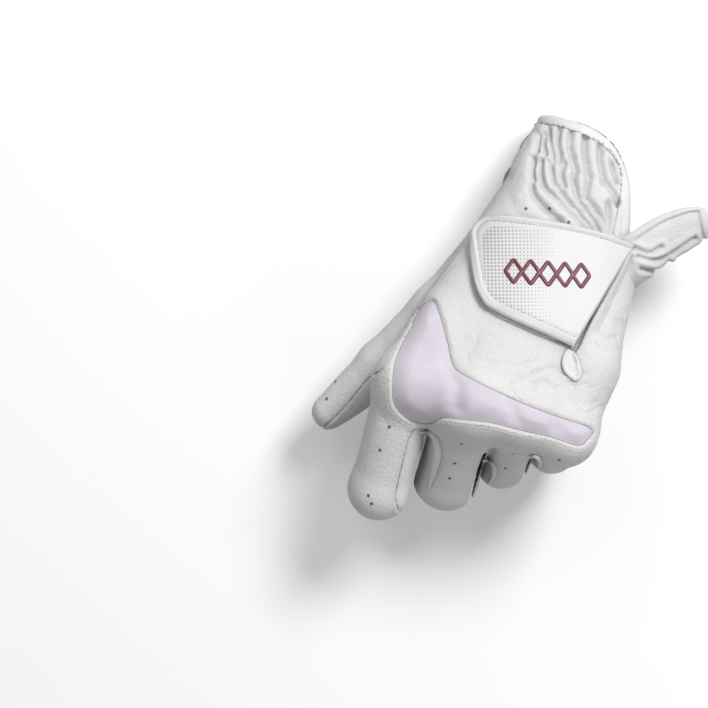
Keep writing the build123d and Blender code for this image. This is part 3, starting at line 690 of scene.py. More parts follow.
def outline_grid(poly, step):
    """Quads over an outline's inside; the rim is pulled onto the outline."""
    poly = np.asarray(poly)
    lo, hi = poly.min(0) - step, poly.max(0) + step
    nx, ny = (np.ceil((hi - lo) / step)).astype(int)
    X, Y = np.meshgrid(lo[0] + np.arange(nx + 1) * step, lo[1] + np.arange(ny + 1) * step, indexing="ij")
    V = np.column_stack([X.ravel(), Y.ravel()])
    C = (V.reshape(nx + 1, ny + 1, 2)[:-1, :-1] + step / 2).reshape(-1, 2)
    keep = poly_sd(C, poly) < -0.12 * step
    i, j = np.meshgrid(np.arange(nx), np.arange(ny), indexing="ij")
    a = (i * (ny + 1) + j).ravel()
    Q = np.column_stack([a, a + ny + 1, a + ny + 2, a + 1])[keep]
    used, inv = np.unique(Q, return_inverse=True)
    V, Q = V[used], inv.reshape(-1, 4)
    count = {}
    E = np.sort(np.stack([Q, np.roll(Q, -1, 1)], -1).reshape(-1, 2), 1)
    u, c = np.unique(E, axis=0, return_counts=True)
    rim = np.unique(u[c == 1])
    for _ in range(3):
        v = V[rim]; s0 = poly_sd(v, poly); e = 0.02
        g = np.stack([(poly_sd(v + [e, 0], poly) - s0) / e, (poly_sd(v + [0, e], poly) - s0) / e], 1)
        g /= np.maximum(np.linalg.norm(g, axis=1), 1e-6)[:, None]
        V[rim] = v - s0[:, None] * g
    return V, Q, rim


def slab_over(name, poly, step, low, high, low_of=None):
    """Closed sheet over the back: `low` and `high` give its two faces' heights, mm."""
    V, Q, rim = outline_grid(poly, step)
    S, N = surface_at(V)
    sd = -poly_sd(V, poly); sd[rim] = 0
    top = S + N * np.asarray(high(V, sd))[:, None]
    bot = S + N * np.asarray(low(V, sd))[:, None]
    n = len(V)
    E = np.stack([Q, np.roll(Q, -1, 1)], -1).reshape(-1, 2)
    key = np.sort(E, 1)
    u, idx, c = np.unique(key, axis=0, return_index=True, return_counts=True)
    b = E[idx[c == 1]]
    side = np.column_stack([b[:, 1], b[:, 0], b[:, 0] + n, b[:, 1] + n])
    faces = np.vstack([Q, Q[:, ::-1] + n, side])
    return make(name, np.vstack([top, bot]), faces)


FINE = 0.5


def round_edge(sd, w, h):
    x = np.clip(sd / w, 0, 1)
    return h * np.sqrt(np.clip(1 - (1 - x) ** 2, 0, 1))


TAB_P = np.vstack([smooth_line(TAB_PANEL, 0.7), [TAB_PANEL[0]]])
TAB_DIR = np.array([0.948, -0.317])


def tab_high(V, sd):
    d, _, _ = line_d(V, TAB_P[:-1])
    inside = poly_sd(V, TAB_P) < 0
    h = 2.0 + round_edge(sd, 0.8, 0.9)
    pipe = (~inside) & (sd < 3.4)
    h += np.where(pipe, 0.5 * np.clip(1 - ((d - 0.95) / 0.95) ** 2, 0, 1), 0)
    h -= 0.5 * gauss(d, 0.38)
    h += np.where(inside, 0.12 * noise(np.column_stack([V, V[:, 0] * 0]), 9, 61), 0)
    h += lift(V)
    return h


def lift(V):
    """The lower left edge of the tab stands a little off its loop patch."""
    return 1.3 * step01((66.0 - V[:, 0]) / 9) * step01((52 - V[:, 1]) / 14) + 0.5 * step01((30 - V[:, 1]) / 12) * step01((84 - V[:, 0]) / 12)


tab = slab_over("closure_tab_leather", TAB_C[:-1], FINE, lambda V, sd: 1.5 + 0 * sd + lift(V), tab_high)
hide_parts("closure_tab", "tab_binding"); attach(tab, "closure")
LOOP = [(107.0, 43.0), (92.6, 53.0), (81.5, 58.0), (73.5, 60.0), (69.0, 58.0), (65.6, 54.0), (63.4, 48.0), (61.0, 41.5), (61.6, 35.4), (64.0, 30.6), (71.5, 23.6), (81.0, 16.0), (88.5, 17.0), (100.0, 30.0)]
loop_patch = slab_over("loop_pile_patch", smooth_line(LOOP, 0.8, True), FINE, lambda V, sd: -0.3 + 0 * sd, lambda V, sd: 0.05 + round_edge(sd, 0.7, 0.75) + 0.12 * noise(np.column_stack([V, V[:, 0] * 0]), 0.9, 71))
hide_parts("loop_patch"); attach(loop_patch, "hand")
HOOK = [(94.0, 50.0), (81.5, 56.5), (73.0, 58.5), (68.8, 55.6), (64.6, 47.0), (62.8, 41.0), (64.2, 35.0), (74.0, 26.0), (80.5, 21.0)]
hook_patch = slab_over("hook_tape_patch", smooth_line(HOOK, 0.8, True), FINE, lambda V, sd: 1.0 + 0 * sd + lift(V), lambda V, sd: 1.52 + 0 * sd + lift(V))
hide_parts("hook_patch"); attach(hook_patch, "closure")
TEAR = smooth_line([(84.4, 11.4), (82.4, 10.2), (80.6, 7.1), (80.8, 3.3), (83.4, -0.4), (86.2, 1.2), (86.9, 6.0), (86.2, 10.0)], 0.5, True)
tear = slab_over("slit_end_patch", TEAR, FINE, lambda V, sd: -0.5 + 0 * sd, lambda V, sd: 0.25 + 0.55 * gauss(sd - 0.75, 0.55) - 0.7 * gauss(line_d(V, SLIT_C)[0], 0.6))
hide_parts("slit_reinforcement"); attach(tear, "hand")
# the leather of the little-finger side laps over the root of the tab
LAP_A = smooth_line(SLIT[:2], 1.0)
LAP = np.vstack([LAP_A + [0.1, -0.1], (LAP_A + [7.4, -7.4])[::-1]])
LAP_L = float(np.linalg.norm(np.diff(LAP_A, axis=0), axis=1).sum())


def lap_high(V, sd):
    d, run, _ = line_d(V, LAP_A)
    ends = step01((LAP_L - run) / 11) * step01((run + 3) / 6)
    return -1.3 + (3.95 * gauss(d, 4.0) * ends + 0.1 * noise(np.column_stack([V, V[:, 0] * 0]), 3.0, 91)) * step01(sd / 0.9 + 0.15)


lap = slab_over("tab_root_lap", LAP, FINE, lambda V, sd: -1.5 + 0 * sd, lap_high)
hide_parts("tab_anchor"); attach(lap, "hand")

# ------------------------------------------------------------------ flared cuff flap
FLAP = [
    (111.5, [(42.6, 16.6), (35.8, 16.4), (28.8, 14.6), (24.8, 9.0), (25.4, 2.3), (28.4, -2.9), (32.4, -7.0), (37.2, -10.6)]),
    (118.0, [(43.8, 16.6), (37.4, 16.2), (30.8, 14.2), (26.8, 8.8), (27.4, 2.6), (30.2, -2.2), (33.8, -5.8), (38.4, -8.8)]),
    (128.0, [(45.9, 15.6), (40.0, 15.0), (34.2, 12.4), (30.4, 7.6), (31.0, 3.0), (33.6, -1.2), (36.8, -3.8), (40.6, -5.6)]),
    (138.0, [(46.0, 12.6), (41.2, 12.0), (36.6, 9.8), (33.0, 6.4), (33.4, 2.8), (35.6, -0.2), (38.4, -1.8), (41.6, -3.0)]),
    (143.0, [(44.8, 10.6), (40.6, 10.2), (36.8, 8.6), (34.2, 5.8), (34.6, 2.8), (36.4, 0.6), (38.8, -0.8), (41.6, -1.6)]),
    (145.6, [(43.2, 9.4), (39.6, 9.0), (36.6, 7.6), (35.2, 5.4), (35.5, 3.0), (36.9, 1.2), (39.0, 0.0), (41.2, -0.6)]),
]


def flap_points(nu, nv):
    rows = []
    for x, line in FLAP:
        c = smooth_line(line, 0.25)
        s = np.concatenate([[0], np.cumsum(np.linalg.norm(np.diff(c, axis=0), axis=1))])
        t = np.linspace(0, s[-1], nv)
        rows.append(np.column_stack([np.full(nv, x), np.interp(t, s, c[:, 0]), np.interp(t, s, c[:, 1])]))
    rows = np.array(rows)
    xs = np.array([r[0, 0] for r in rows])
    k = smooth_line(np.column_stack([np.arange(len(xs)), np.arange(len(xs))]), 0.02)[:, 0]
    out = np.zeros((nu, nv, 3))
    u = np.linspace(0, len(xs) - 1, nu)
    for j in range(nv):
        c = smooth_line(rows[:, j], 0.2)
        s = np.concatenate([[0], np.cumsum(np.linalg.norm(np.diff(c, axis=0), axis=1))])
        t = np.linspace(0, s[-1], nu)
        for a in range(3):
            out[:, j, a] = np.interp(t, s, c[:, a])
    return out


nu, nv = ((120, 96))
G = flap_points(nu, nv)
du = np.gradient(G, axis=0); dvv = np.gradient(G, axis=1)
NF = np.cross(du, dvv); NF /= np.linalg.norm(NF, axis=2)[:, :, None]
if NF[nu // 2, 4, 2] < 0:
    NF = -NF
GV = view_xy(G.reshape(-1, 3))
w = np.zeros(nu * nv)
for line in FLAP_WRINKLES:
    d, _, _ = line_d(GV, smooth_line(line, 0.7))
    w = w - 1.0 * gauss(d, 0.75) + 0.5 * gauss(d - 1.8, 1.2)
U = np.repeat(np.linspace(0, 1, nu), nv); Vv = np.tile(np.linspace(0, 1, nv), nu)
gx = G.reshape(-1, 3)
edge_d = np.minimum((1 - U) * 34.0, np.minimum(Vv, 1 - Vv) * 52.0)
hem_on = step01((3.4 - edge_d) / 0.6) * step01((U - 0.10) / 0.1)
w = w * step01((edge_d - 3.0) / 3) + 0.45 * hem_on - 0.45 * gauss(edge_d - 3.7, 0.4) * step01((U - 0.10) / 0.1)
w = w + 0.15 * noise(gx, 7, 81) + 0.30 * np.minimum(0, 1 - 2.2 * np.abs(noise(gx @ np.diag([1.0, 1.5, 1.5]), 6.5, 83)) - 0.4) * step01((0.75 - U) / 0.3)
topf = gx + NF.reshape(-1, 3) * (w[:, None] + 0.55)
botf = gx - NF.reshape(-1, 3) * 0.55
rounded = np.sqrt(np.clip(1 - (1 - np.clip(np.minimum(edge_d, (1 - U) * 34 + 0.0) / 0.7, 0, 1)) ** 2, 0, 1))
topf = gx + (topf - gx) * (0.25 + 0.75 * rounded)[:, None]
ii, jj = np.meshgrid(np.arange(nu - 1), np.arange(nv - 1), indexing="ij")
a = (ii * nv + jj).ravel()
q = np.column_stack([a, a + nv, a + nv + 1, a + 1])
n_ = nu * nv
ring = np.concatenate([np.arange(nv), np.arange(1, nu) * nv + nv - 1, (nu - 1) * nv + np.arange(nv - 2, -1, -1), np.arange(nu - 2, 0, -1) * nv])
r2 = np.roll(ring, -1)
side = np.column_stack([ring, r2, r2 + n_, ring + n_])
test = np.cross(topf[q[:, 2]] - topf[q[:, 0]], topf[q[:, 3]] - topf[q[:, 1]])
flip = (test * NF.reshape(-1, 3)[q[:, 0]]).sum() < 0
faces = np.vstack([q[:, ::-1] if flip else q, (q if flip else q[:, ::-1]) + n_, side if not flip else side[:, ::-1]])
flap = make("cuff_flap_leather", np.vstack([topf, botf]), faces)
flap.data.materials.append(M_LEATHER)
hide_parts("cuff_flap", "flap_hem"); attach(flap, "hand")

# ------------------------------------------------------------------ small repeated pieces
def capsule(length, r, seg=6):
    """Short rounded thread, lying along x."""
    xs = np.array([-1, -0.86, -0.5, 0, 0.5, 0.86, 1]) * length / 2
    rs = np.array([0.0, 0.62, 0.95, 1.0, 0.95, 0.62, 0.0]) * r
    P = []; F = []
    for i, (x, rr_) in enumerate(zip(xs, rs)):
        for k in range(seg):
            t = 2 * math.pi * k / seg
            P.append((x, rr_ * math.cos(t), rr_ * math.sin(t)))
    for i in range(len(xs) - 1):
        for k in range(seg):
            F.append((i * seg + k, i * seg + (k + 1) % seg, (i + 1) * seg + (k + 1) % seg, (i + 1) * seg + k))
    return np.array(P), np.array(F)


CP, CF = capsule(1.0, 1.0)


def place(points, dirs, normals, length, r):
    """Copies of the thread at points, along dirs, on normals."""
    X = dirs - (dirs * normals).sum(1)[:, None] * normals
    X /= np.linalg.norm(X, axis=1)[:, None]
    Y = np.cross(normals, X)
    L = np.asarray(length).reshape(-1, 1, 1) if np.ndim(length) else length
    V = points[:, None, :] + CP[None, :, :1] * L * X[:, None] + CP[None, :, 1:2] * r * Y[:, None] + CP[None, :, 2:3] * r * normals[:, None]
    F = CF[None] + (np.arange(len(points)) * len(CP))[:, None, None]
    return V.reshape(-1, 3), F.reshape(-1, 4)


def along(line, pitch, closed=False):
    c = np.asarray(line, float)
    s = np.concatenate([[0], np.cumsum(np.linalg.norm(np.diff(c, axis=0), axis=1))])
    t = np.arange(pitch / 2, s[-1], pitch)
    P = np.column_stack([np.interp(t, s, c[:, k]) for k in range(c.shape[1])])
    t2 = np.clip(t + 0.3, 0, s[-1]); t1 = np.clip(t - 0.3, 0, s[-1])
    D = np.column_stack([np.interp(t2, s, c[:, k]) - np.interp(t1, s, c[:, k]) for k in range(c.shape[1])])
    return P, D / np.maximum(np.linalg.norm(D, axis=1), 1e-9)[:, None]


def shifted(line, d):
    """Line moved sideways by d."""
    c = np.asarray(line, float)
    t = np.gradient(c, axis=0); t /= np.maximum(np.linalg.norm(t, axis=1), 1e-9)[:, None]
    return c + np.column_stack([-t[:, 1], t[:, 0]]) * d


from mathutils.kdtree import KDTree
kd = KDTree(len(P1))
for i_, p_ in enumerate(P1):
    kd.insert(p_, i_)
kd.balance()


def face_body(k):
    if k.startswith("mid_"):
        return k[4:] + "_middle"
    if k.startswith("tip_"):
        return k[4:] + "_end"
    return "thumb_end" if k == "thumbtip" else "hand"


BODY_NAMES = ["hand"] + [n + e for n in NAMES for e in ("_middle", "_end")] + ["thumb_end"]
vbody = np.zeros(len(P1), int)
for k_ in sorted(set(label)):
    vbody[Q0[label == k_].ravel()] = BODY_NAMES.index(face_body(k_))


def body_at(S):
    return np.array([vbody[kd.find(s_)[1]] for s_ in S])


def on_skin(V):
    """Points on the displaced skin at V, with smooth normals."""
    S, N = surface_at(V)
    out = np.empty_like(S); nn = np.empty_like(S)
    for i_, s_ in enumerate(S):
        _, k_, _ = kd.find(s_)
        n_i = N1[k_]
        out[i_] = S[i_] + N[i_] * float((P1[k_] - S[i_]) @ N[i_])
        nn[i_] = n_i
    return out, nn


def stitch_row(line, pitch=2.3, length=1.6, r=0.2, lift_mm=0.0, height=None):
    V, D = along(line, pitch)
    if height is None:
        S, N = on_skin(V)
        S2, _ = on_skin(V + D * 0.5)
    else:
        S, N = surface_at(V); S = S + N * height(V)[:, None]
        S2, N2 = surface_at(V + D * 0.5); S2 = S2 + N2 * height(V + D * 0.5)[:, None]
    return place(S + N * lift_mm, S2 - S, N, length, r)


def tube_line(line, r, step=0.7, height=None, sink=0.0):
    """Thin continuous tube along a line, split where the body changes; here it carries the painted shadow lines of
    seams and grooves.
    """
    V, _ = along(line, step)
    if height is None:
        S, N = on_skin(V)
        b_ = body_at(S)
    else:
        S, N = surface_at(V); S = S + N * height(V)[:, None]
        b_ = np.zeros(len(S), int)
    gap = np.linalg.norm(np.diff(S, axis=0), axis=1) > 1.9
    S = S - N * sink
    T = np.gradient(S, axis=0); T /= np.maximum(np.linalg.norm(T, axis=1), 1e-9)[:, None]
    B_ = np.cross(N, T); B_ /= np.maximum(np.linalg.norm(B_, axis=1), 1e-9)[:, None]
    seg = 6
    out = []
    cuts = [0] + [i + 1 for i in range(len(S) - 1) if b_[i] != b_[i + 1] or gap[i]] + [len(S)]
    for i0, i1 in zip(cuts[:-1], cuts[1:]):
        if i1 < len(S) and not gap[i1 - 1]:
            i1 += 1
        if i1 - i0 < 3:
            continue
        P = np.stack([S[i0:i1] + B_[i0:i1] * r * math.cos(a) + N[i0:i1] * r * math.sin(a) for a in np.arange(seg) * 2 * math.pi / seg], 1).reshape(-1, 3)
        m = i1 - i0
        i_ = np.arange(m - 1)[:, None]; k_ = np.arange(seg)[None]
        F = np.stack([i_ * seg + k_, i_ * seg + (k_ + 1) % seg, (i_ + 1) * seg + (k_ + 1) % seg, (i_ + 1) * seg + k_], -1).reshape(-1, 4)
        out.append((BODY_NAMES[b_[i0]], P, F))
    return out


def join(parts):
    Ps, Fs, o = [], [], 0
    for P, F in parts:
        Ps.append(P); Fs.append(F + o); o += len(P)
    return np.vstack(Ps), np.vstack(Fs)


ins_open = INSERT_C
rows = []
left_part = smooth_line([INSERT[k] for k in (9, 10, 11, 12, 13, 14, 15, 16, 17, 18, 19, 20, 21, 22, 23, 24, 25, 26, 27)], 0.6)
for off in (1.05, 2.05):
    rows.append(stitch_row(shifted(left_part, off), 1.9, 1.25, 0.16))
rows.append(stitch_row(HEM_IN and smooth_line(HEM_IN, 0.6) + [0.35, 0.25], 1.9, 1.3, 0.17, 0.10))
rows.append(stitch_row(shifted(smooth_line(INDEX_SEAM, 0.5), -1.1), 1.9, 1.2, 0.15))
rows.append(stitch_row(shifted(smooth_line(THUMB_SEAM, 0.5), 1.1), 1.9, 1.2, 0.15))
SP, SF = join(rows)
# each stitch goes with the body of the leather under it
cen = SP.reshape(-1, len(CP), 3).mean(1)
sb = body_at(cen)
M_THREAD = leather("thread", (0.83, 0.825, 0.825), (0.76, 0.755, 0.76), rough=0.6, grain=0.3)
for b_i in sorted(set(sb)):
    sel = np.where(sb == b_i)[0]
    Pb = SP.reshape(-1, len(CP), 3)[sel].reshape(-1, 3)
    Fb = (CF[None] + (np.arange(len(sel)) * len(CP))[:, None, None]).reshape(-1, 4)
    stitch = make("stitching_" + BODY_NAMES[b_i], Pb, Fb)
    stitch.data.materials.append(M_THREAD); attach(stitch, BODY_NAMES[b_i])
# painted shadow: thin dark grey tubes along the insert's outline, the inner hem line and the forefinger and thumb seams
# stand in for the shade in their grooves
M_SEAM_SHADOW = leather("seam_shadow_line", (0.36, 0.35, 0.355), (0.26, 0.25, 0.26), rough=0.8, grain=0.3)
seam_shadow_parts = {}
for line, r_, sink in ((np.vstack([INSERT_C, INSERT_C[:1]]), 0.17, 0.02), (smooth_line(HEM_IN, 0.5), 0.15, 0.0), (smooth_line(INDEX_SEAM, 0.5), 0.17, 0.0), (smooth_line(THUMB_SEAM, 0.5), 0.2, 0.0)):
    for bn, P, F in tube_line(line, r_, sink=sink):
        seam_shadow_parts.setdefault(bn, []).append((P, F))
for bn, items in seam_shadow_parts.items():
    P, F = join(items)
    o = make("seam_shadow_lines_" + bn, P, F)
    o.data.materials.append(M_SEAM_SHADOW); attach(o, bn)
tab_line = smooth_line(TAB_PANEL, 0.5)
tP, tF = stitch_row(tab_line, 2.1, 1.5, 0.17, 0.0, height=lambda V: 2.62 + lift(V))
# painted shadow: a grey tube laid in the groove of the tab's stitched panel stands in for the shade in it
M_TAB_GROOVE_SHADOW = leather("tab_seam_shadow_line", (0.52, 0.51, 0.50), (0.42, 0.41, 0.40), rough=0.7, grain=0.3)
items = tube_line(smooth_line(TAB_PANEL, 0.5), 0.2, height=lambda V: 2.52 + lift(V))
P, F = join([(P, F) for _, P, F in items])
o = make("tab_seam_shadow_line", P, F)
o.data.materials.append(M_TAB_GROOVE_SHADOW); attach(o, "closure")
tstitch = make("tab_stitching", tP, tF)
tstitch.data.materials.append(M_THREAD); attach(tstitch, "closure")

# small folds of leather at the crotches of the fingers
FOLDS = [
    ([(24.2, 0.3), (27.9, -0.4), (29.8, -3.7), (28.8, -9.0), (25.5, -14.3), (21.2, -20.4)], [0.7, 1.5, 1.9, 1.8, 1.4, 0.6]),
    ([(42.8, -16.6), (45.4, -17.2), (46.4, -19.8), (44.9, -23.1), (42.0, -25.1)], [0.6, 1.1, 1.4, 1.1, 0.5]),
    ([(59.2, -20.6), (61.5, -21.0), (62.5, -23.6), (60.7, -25.6)], [0.6, 1.0, 1.2, 0.5]),
]
fold_parts = []
for pts_, rads in FOLDS:
    c = smooth_line(pts_, 0.5)
    S, N = surface_at(c)
    for _ in range(5):
        S[1:-1] = 0.25 * S[:-2] + 0.5 * S[1:-1] + 0.25 * S[2:]
        N[1:-1] = 0.25 * N[:-2] + 0.5 * N[1:-1] + 0.25 * N[2:]
    N /= np.linalg.norm(N, axis=1)[:, None]
    R_ = np.interp(np.linspace(0, 1, len(S)), np.linspace(0, 1, len(rads)), rads) * (1 + 0.06 * noise(S, 2.0, 95))
    R_[0] = R_[-1] = 0.05
    T = np.gradient(S, axis=0); T /= np.linalg.norm(T, axis=1)[:, None]
    B_ = np.cross(N, T); B_ /= np.linalg.norm(B_, axis=1)[:, None]
    seg = 16
    P = np.stack([S + B_ * (R_ * 0.85)[:, None] * math.cos(a) + N * (R_ * 0.95 * math.sin(a) + 0.1)[:, None] for a in np.arange(seg) * 2 * math.pi / seg], 1).reshape(-1, 3)
    i_ = np.arange(len(S) - 1)[:, None]; k_ = np.arange(seg)[None]
    F = np.stack([i_ * seg + k_, i_ * seg + (k_ + 1) % seg, (i_ + 1) * seg + (k_ + 1) % seg, (i_ + 1) * seg + k_], -1).reshape(-1, 4)
    fold_parts.append((P, F))
P, F = join(fold_parts)
o = make("crotch_folds", P, F)
o.data.materials.append(M_LEATHER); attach(o, "hand")

# burgundy lozenge chain raised on the tab
em = []
ex = np.array([0.948, -0.317]); ey = np.array([0.317, 0.948])
for k in range(5):
    c = np.array([74.4, 43.0]) + (ex * 5.9 + ey * -0.35) * k
    loop_ = [c + ey * 4.3, c + ex * 2.95, c - ey * 4.3, c - ex * 2.95, c + ey * 4.3]
    em.append(np.array(loop_))
M_EMB, nt, b = material("emblem_print", (0.24, 0.035, 0.075), 0.42, coat=0.25, spec=0.45)
mp = coords(nt); ns = node(nt, "ShaderNodeTexNoise", Scale=0.8, Detail=3.0)
nt.links.new(mp.outputs[0], ns.inputs["Vector"])
mx = node(nt, "ShaderNodeMix", data_type="RGBA"); mx.inputs[6].default_value = (0.19, 0.022, 0.056, 1); mx.inputs[7].default_value = (0.145, 0.016, 0.042, 1)
nt.links.new(ns.outputs["Fac"], mx.inputs[0]); nt.links.new(mx.outputs[2], b.inputs["Base Color"])
bp = node(nt, "ShaderNodeBump", Strength=0.25); bp.inputs["Distance"].default_value = 0.0001
nt.links.new(ns.outputs["Fac"], bp.inputs["Height"]); nt.links.new(bp.outputs[0], b.inputs["Normal"])
parts = []
for loop_ in em:
    c = []
    for p0, p1 in zip(loop_[:-1], loop_[1:]):
        t = np.linspace(0.0, 1, 9, endpoint=False)[:, None]
        c.append(p0 + (p1 - p0) * t)
    c = np.vstack(c)
    for _ in range(1):
        c = 0.25 * np.roll(c, 1, 0) + 0.5 * c + 0.25 * np.roll(c, -1, 0)
    S, N = surface_at(c)
    S = S + N * (2.75 + lift(c))[:, None]
    m = len(c); seg = 10
    T = np.roll(S, -1, 0) - np.roll(S, 1, 0); T /= np.linalg.norm(T, axis=1)[:, None]
    B_ = np.cross(N, T)
    P = []
    for k in range(seg):
        a_ = 2 * math.pi * k / seg
        P.append(S + B_ * 0.78 * math.cos(a_) + N * 0.55 * math.sin(a_))
    P = np.stack(P, 1).reshape(-1, 3)
    i_ = np.arange(m)[:, None]; k_ = np.arange(seg)[None]
    F = np.stack([i_ * seg + k_, i_ * seg + (k_ + 1) % seg, ((i_ + 1) % m) * seg + (k_ + 1) % seg, ((i_ + 1) % m) * seg + k_], -1).reshape(-1, 4)
    parts.append((P, F[:, ::-1]))
eP, eF = join(parts)
emb = make("tab_lozenges", eP, eF)
emb.data.materials.append(M_EMB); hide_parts("tab_emblem"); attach(emb, "closure")

# ventilation holes
hs = []
HP = np.array(HOLES)
S, N = on_skin(HP)
disc_t = np.linspace(0, 2 * math.pi, 13)[:-1]
for s_, n_i in zip(S, N):
    x = unit(np.cross(n_i, [0.3, 0.9, 0.1])); y = np.cross(n_i, x)
    ringP = [s_ + n_i * h + (x * math.cos(t) + y * math.sin(t)) * r_ for r_, h in ((0.62, 0.02), (0.45, 0.07), (0.2, 0.03)) for t in disc_t]
    hs.append((np.array(ringP), np.array([(a_ * 12 + k, a_ * 12 + (k + 1) % 12, (a_ + 1) * 12 + (k + 1) % 12, (a_ + 1) * 12 + k) for a_ in (0, 1) for k in range(12)] + [(24, 25, 26, 27), (24, 27, 28, 29), (24, 29, 30, 31), (24, 31, 32, 33), (24, 33, 34, 35)])))
groups = {"hand": [], "index_middle": [], "middle_middle": [], "ring_middle": [], "thumb_end": []}
for k, h in enumerate(hs):
    s_ = S[k]
    body = "hand"
    for n in NAMES:
        B, d1, C, d2 = HINGE[n]
        if finger_sdf(s_[None], FING[n])[0] < 1.2 and (s_ - B) @ d1 > 4:
            body = n + "_middle"
    if thumb_sdf(s_[None])[0] < 1 and (s_ - T2) @ tu > 4:
        body = "thumb_end"
    groups.setdefault(body, []).append(h)
M_HOLE, nt, b = material("hole_shadow", (0.16, 0.15, 0.15), 0.9)
mp = coords(nt); ns = node(nt, "ShaderNodeTexNoise", Scale=3.0)
nt.links.new(mp.outputs[0], ns.inputs["Vector"])
mx = node(nt, "ShaderNodeMix", data_type="RGBA"); mx.inputs[6].default_value = (0.10, 0.095, 0.09, 1); mx.inputs[7].default_value = (0.28, 0.27, 0.27, 1)
nt.links.new(ns.outputs["Fac"], mx.inputs[0]); nt.links.new(mx.outputs[2], b.inputs["Base Color"])
for body, items in groups.items():
    if items:
        P, F = join(items)
        o = make("vent_holes_" + body, P, F)
        o.data.materials.append(M_HOLE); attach(o, body)

# ------------------------------------------------------------------ tab, tape and elastic finishes
def dotted_leather():
    m, nt, b = material("tab_coated_leather", (0.82, 0.815, 0.805), 0.5, coat=0.03, spec=0.3)
    L = nt.links.new
    mp = coords(nt, rot=(0, 0, math.radians(18.5)))
    sep = node(nt, "ShaderNodeSeparateXYZ"); L(mp.outputs[0], sep.inputs[0])
    def frac(sock, pitch, off):
        a = node(nt, "ShaderNodeMath", operation="MULTIPLY_ADD"); a.inputs[1].default_value = 1 / pitch; a.inputs[2].default_value = off
        L(sock, a.inputs[0])
        f = node(nt, "ShaderNodeMath", operation="FRACT"); L(a.outputs[0], f.inputs[0])
        c = node(nt, "ShaderNodeMath", operation="SUBTRACT"); c.inputs[1].default_value = 0.5; L(f.outputs[0], c.inputs[0])
        s = node(nt, "ShaderNodeMath", operation="MULTIPLY"); L(c.outputs[0], s.inputs[0]); L(c.outputs[0], s.inputs[1])
        return s
    sx = frac(sep.outputs["X"], 1.25, 0.1); sy = frac(sep.outputs["Y"], 1.25, 0.3)
    r = node(nt, "ShaderNodeMath", operation="ADD"); L(sx.outputs[0], r.inputs[0]); L(sy.outputs[0], r.inputs[1])
    q = node(nt, "ShaderNodeMath", operation="SQRT"); L(r.outputs[0], q.inputs[0])
    fade = node(nt, "ShaderNodeMapRange"); fade.inputs["From Min"].default_value = DOT_X0; fade.inputs["From Max"].default_value = DOT_X1
    fade.inputs["To Min"].default_value = 0.34; fade.inputs["To Max"].default_value = 0.0
    L(sep.outputs["X"], fade.inputs["Value"])
    dot = node(nt, "ShaderNodeMapRange"); dot.interpolation_type = "SMOOTHSTEP"
    up = node(nt, "ShaderNodeMath", operation="ADD"); up.inputs[1].default_value = 0.10; L(fade.outputs[0], up.inputs[0])
    L(q.outputs[0], dot.inputs["Value"]); L(fade.outputs[0], dot.inputs["From Min"]); L(up.outputs[0], dot.inputs["From Max"])
    L2 = node(nt, "ShaderNodeMath", operation="SUBTRACT"); L2.inputs[0].default_value = 1.0
    L(dot.outputs[0], L2.inputs[1])
    on = node(nt, "ShaderNodeMath", operation="GREATER_THAN"); on.inputs[1].default_value = 0.02; L(fade.outputs[0], on.inputs[0])
    dm = node(nt, "ShaderNodeMath", operation="MULTIPLY"); L(L2.outputs[0], dm.inputs[0]); L(on.outputs[0], dm.inputs[1])
    pc = node(nt, "ShaderNodeAttribute", attribute_name="panel"); 
    dp = node(nt, "ShaderNodeMath", operation="MULTIPLY"); L(dm.outputs[0], dp.inputs[0]); L(pc.outputs["Fac"], dp.inputs[1])
    mix = node(nt, "ShaderNodeMix", data_type="RGBA"); mix.inputs[6].default_value = (0.82, 0.812, 0.805, 1); mix.inputs[7].default_value = (0.50, 0.49, 0.48, 1)
    L(dp.outputs[0], mix.inputs[0])
    L(mix.outputs[2], b.inputs["Base Color"])
    grain = node(nt, "ShaderNodeTexNoise", Scale=2.2, Detail=4.0); L(mp.outputs[0], grain.inputs["Vector"])
    hh = node(nt, "ShaderNodeMath", operation="MULTIPLY_ADD"); hh.inputs[1].default_value = -2.2
    L(dp.outputs[0], hh.inputs[0]); L(grain.outputs["Fac"], hh.inputs[2])
    bump = node(nt, "ShaderNodeBump", Strength=0.4); bump.inputs["Distance"].default_value = 0.00018
    L(hh.outputs[0], bump.inputs["Height"]); L(bump.outputs[0], b.inputs["Normal"])
    return m


# dots fade out along the tab, towards its root
ax_ = math.radians(18.5)
rowx = lambda v: math.cos(ax_) * (v[0] + SHIFT[0]) - math.sin(ax_) * (v[1] + SHIFT[1])
DOT_X0 = rowx((64.0, 45.0)); DOT_X1 = rowx((92.5, 45.0))
tab.data.materials.append(dotted_leather())
tv = np.array([v.co for v in tab.data.vertices]) * 1000 - SHIFT
pa = tab.data.attributes.new("panel", "FLOAT", "POINT")
pa.data.foreach_set("value", np.clip(-poly_sd(view_xy(tv), TAB_P) / 0.6 - 0.4, 0, 1).astype(np.float32))


def pile(name, base, dark, scale, strength):
    m, nt, b = material(name, base, 0.9, sheen=0.6, spec=0.15)
    L = nt.links.new; mp = coords(nt)
    v = node(nt, "ShaderNodeTexVoronoi", Scale=scale); n1 = node(nt, "ShaderNodeTexNoise", Scale=scale * 0.8, Detail=4.0)
    L(mp.outputs[0], v.inputs["Vector"]); L(mp.outputs[0], n1.inputs["Vector"])
    mix = node(nt, "ShaderNodeMix", data_type="RGBA"); mix.inputs[6].default_value = (*dark, 1); mix.inputs[7].default_value = (*base, 1)
    L(n1.outputs["Fac"], mix.inputs[0]); L(mix.outputs[2], b.inputs["Base Color"])
    bump = node(nt, "ShaderNodeBump", Strength=strength); bump.inputs["Distance"].default_value = 0.0004
    L(v.outputs["Distance"], bump.inputs["Height"]); L(bump.outputs[0], b.inputs["Normal"])
    return m


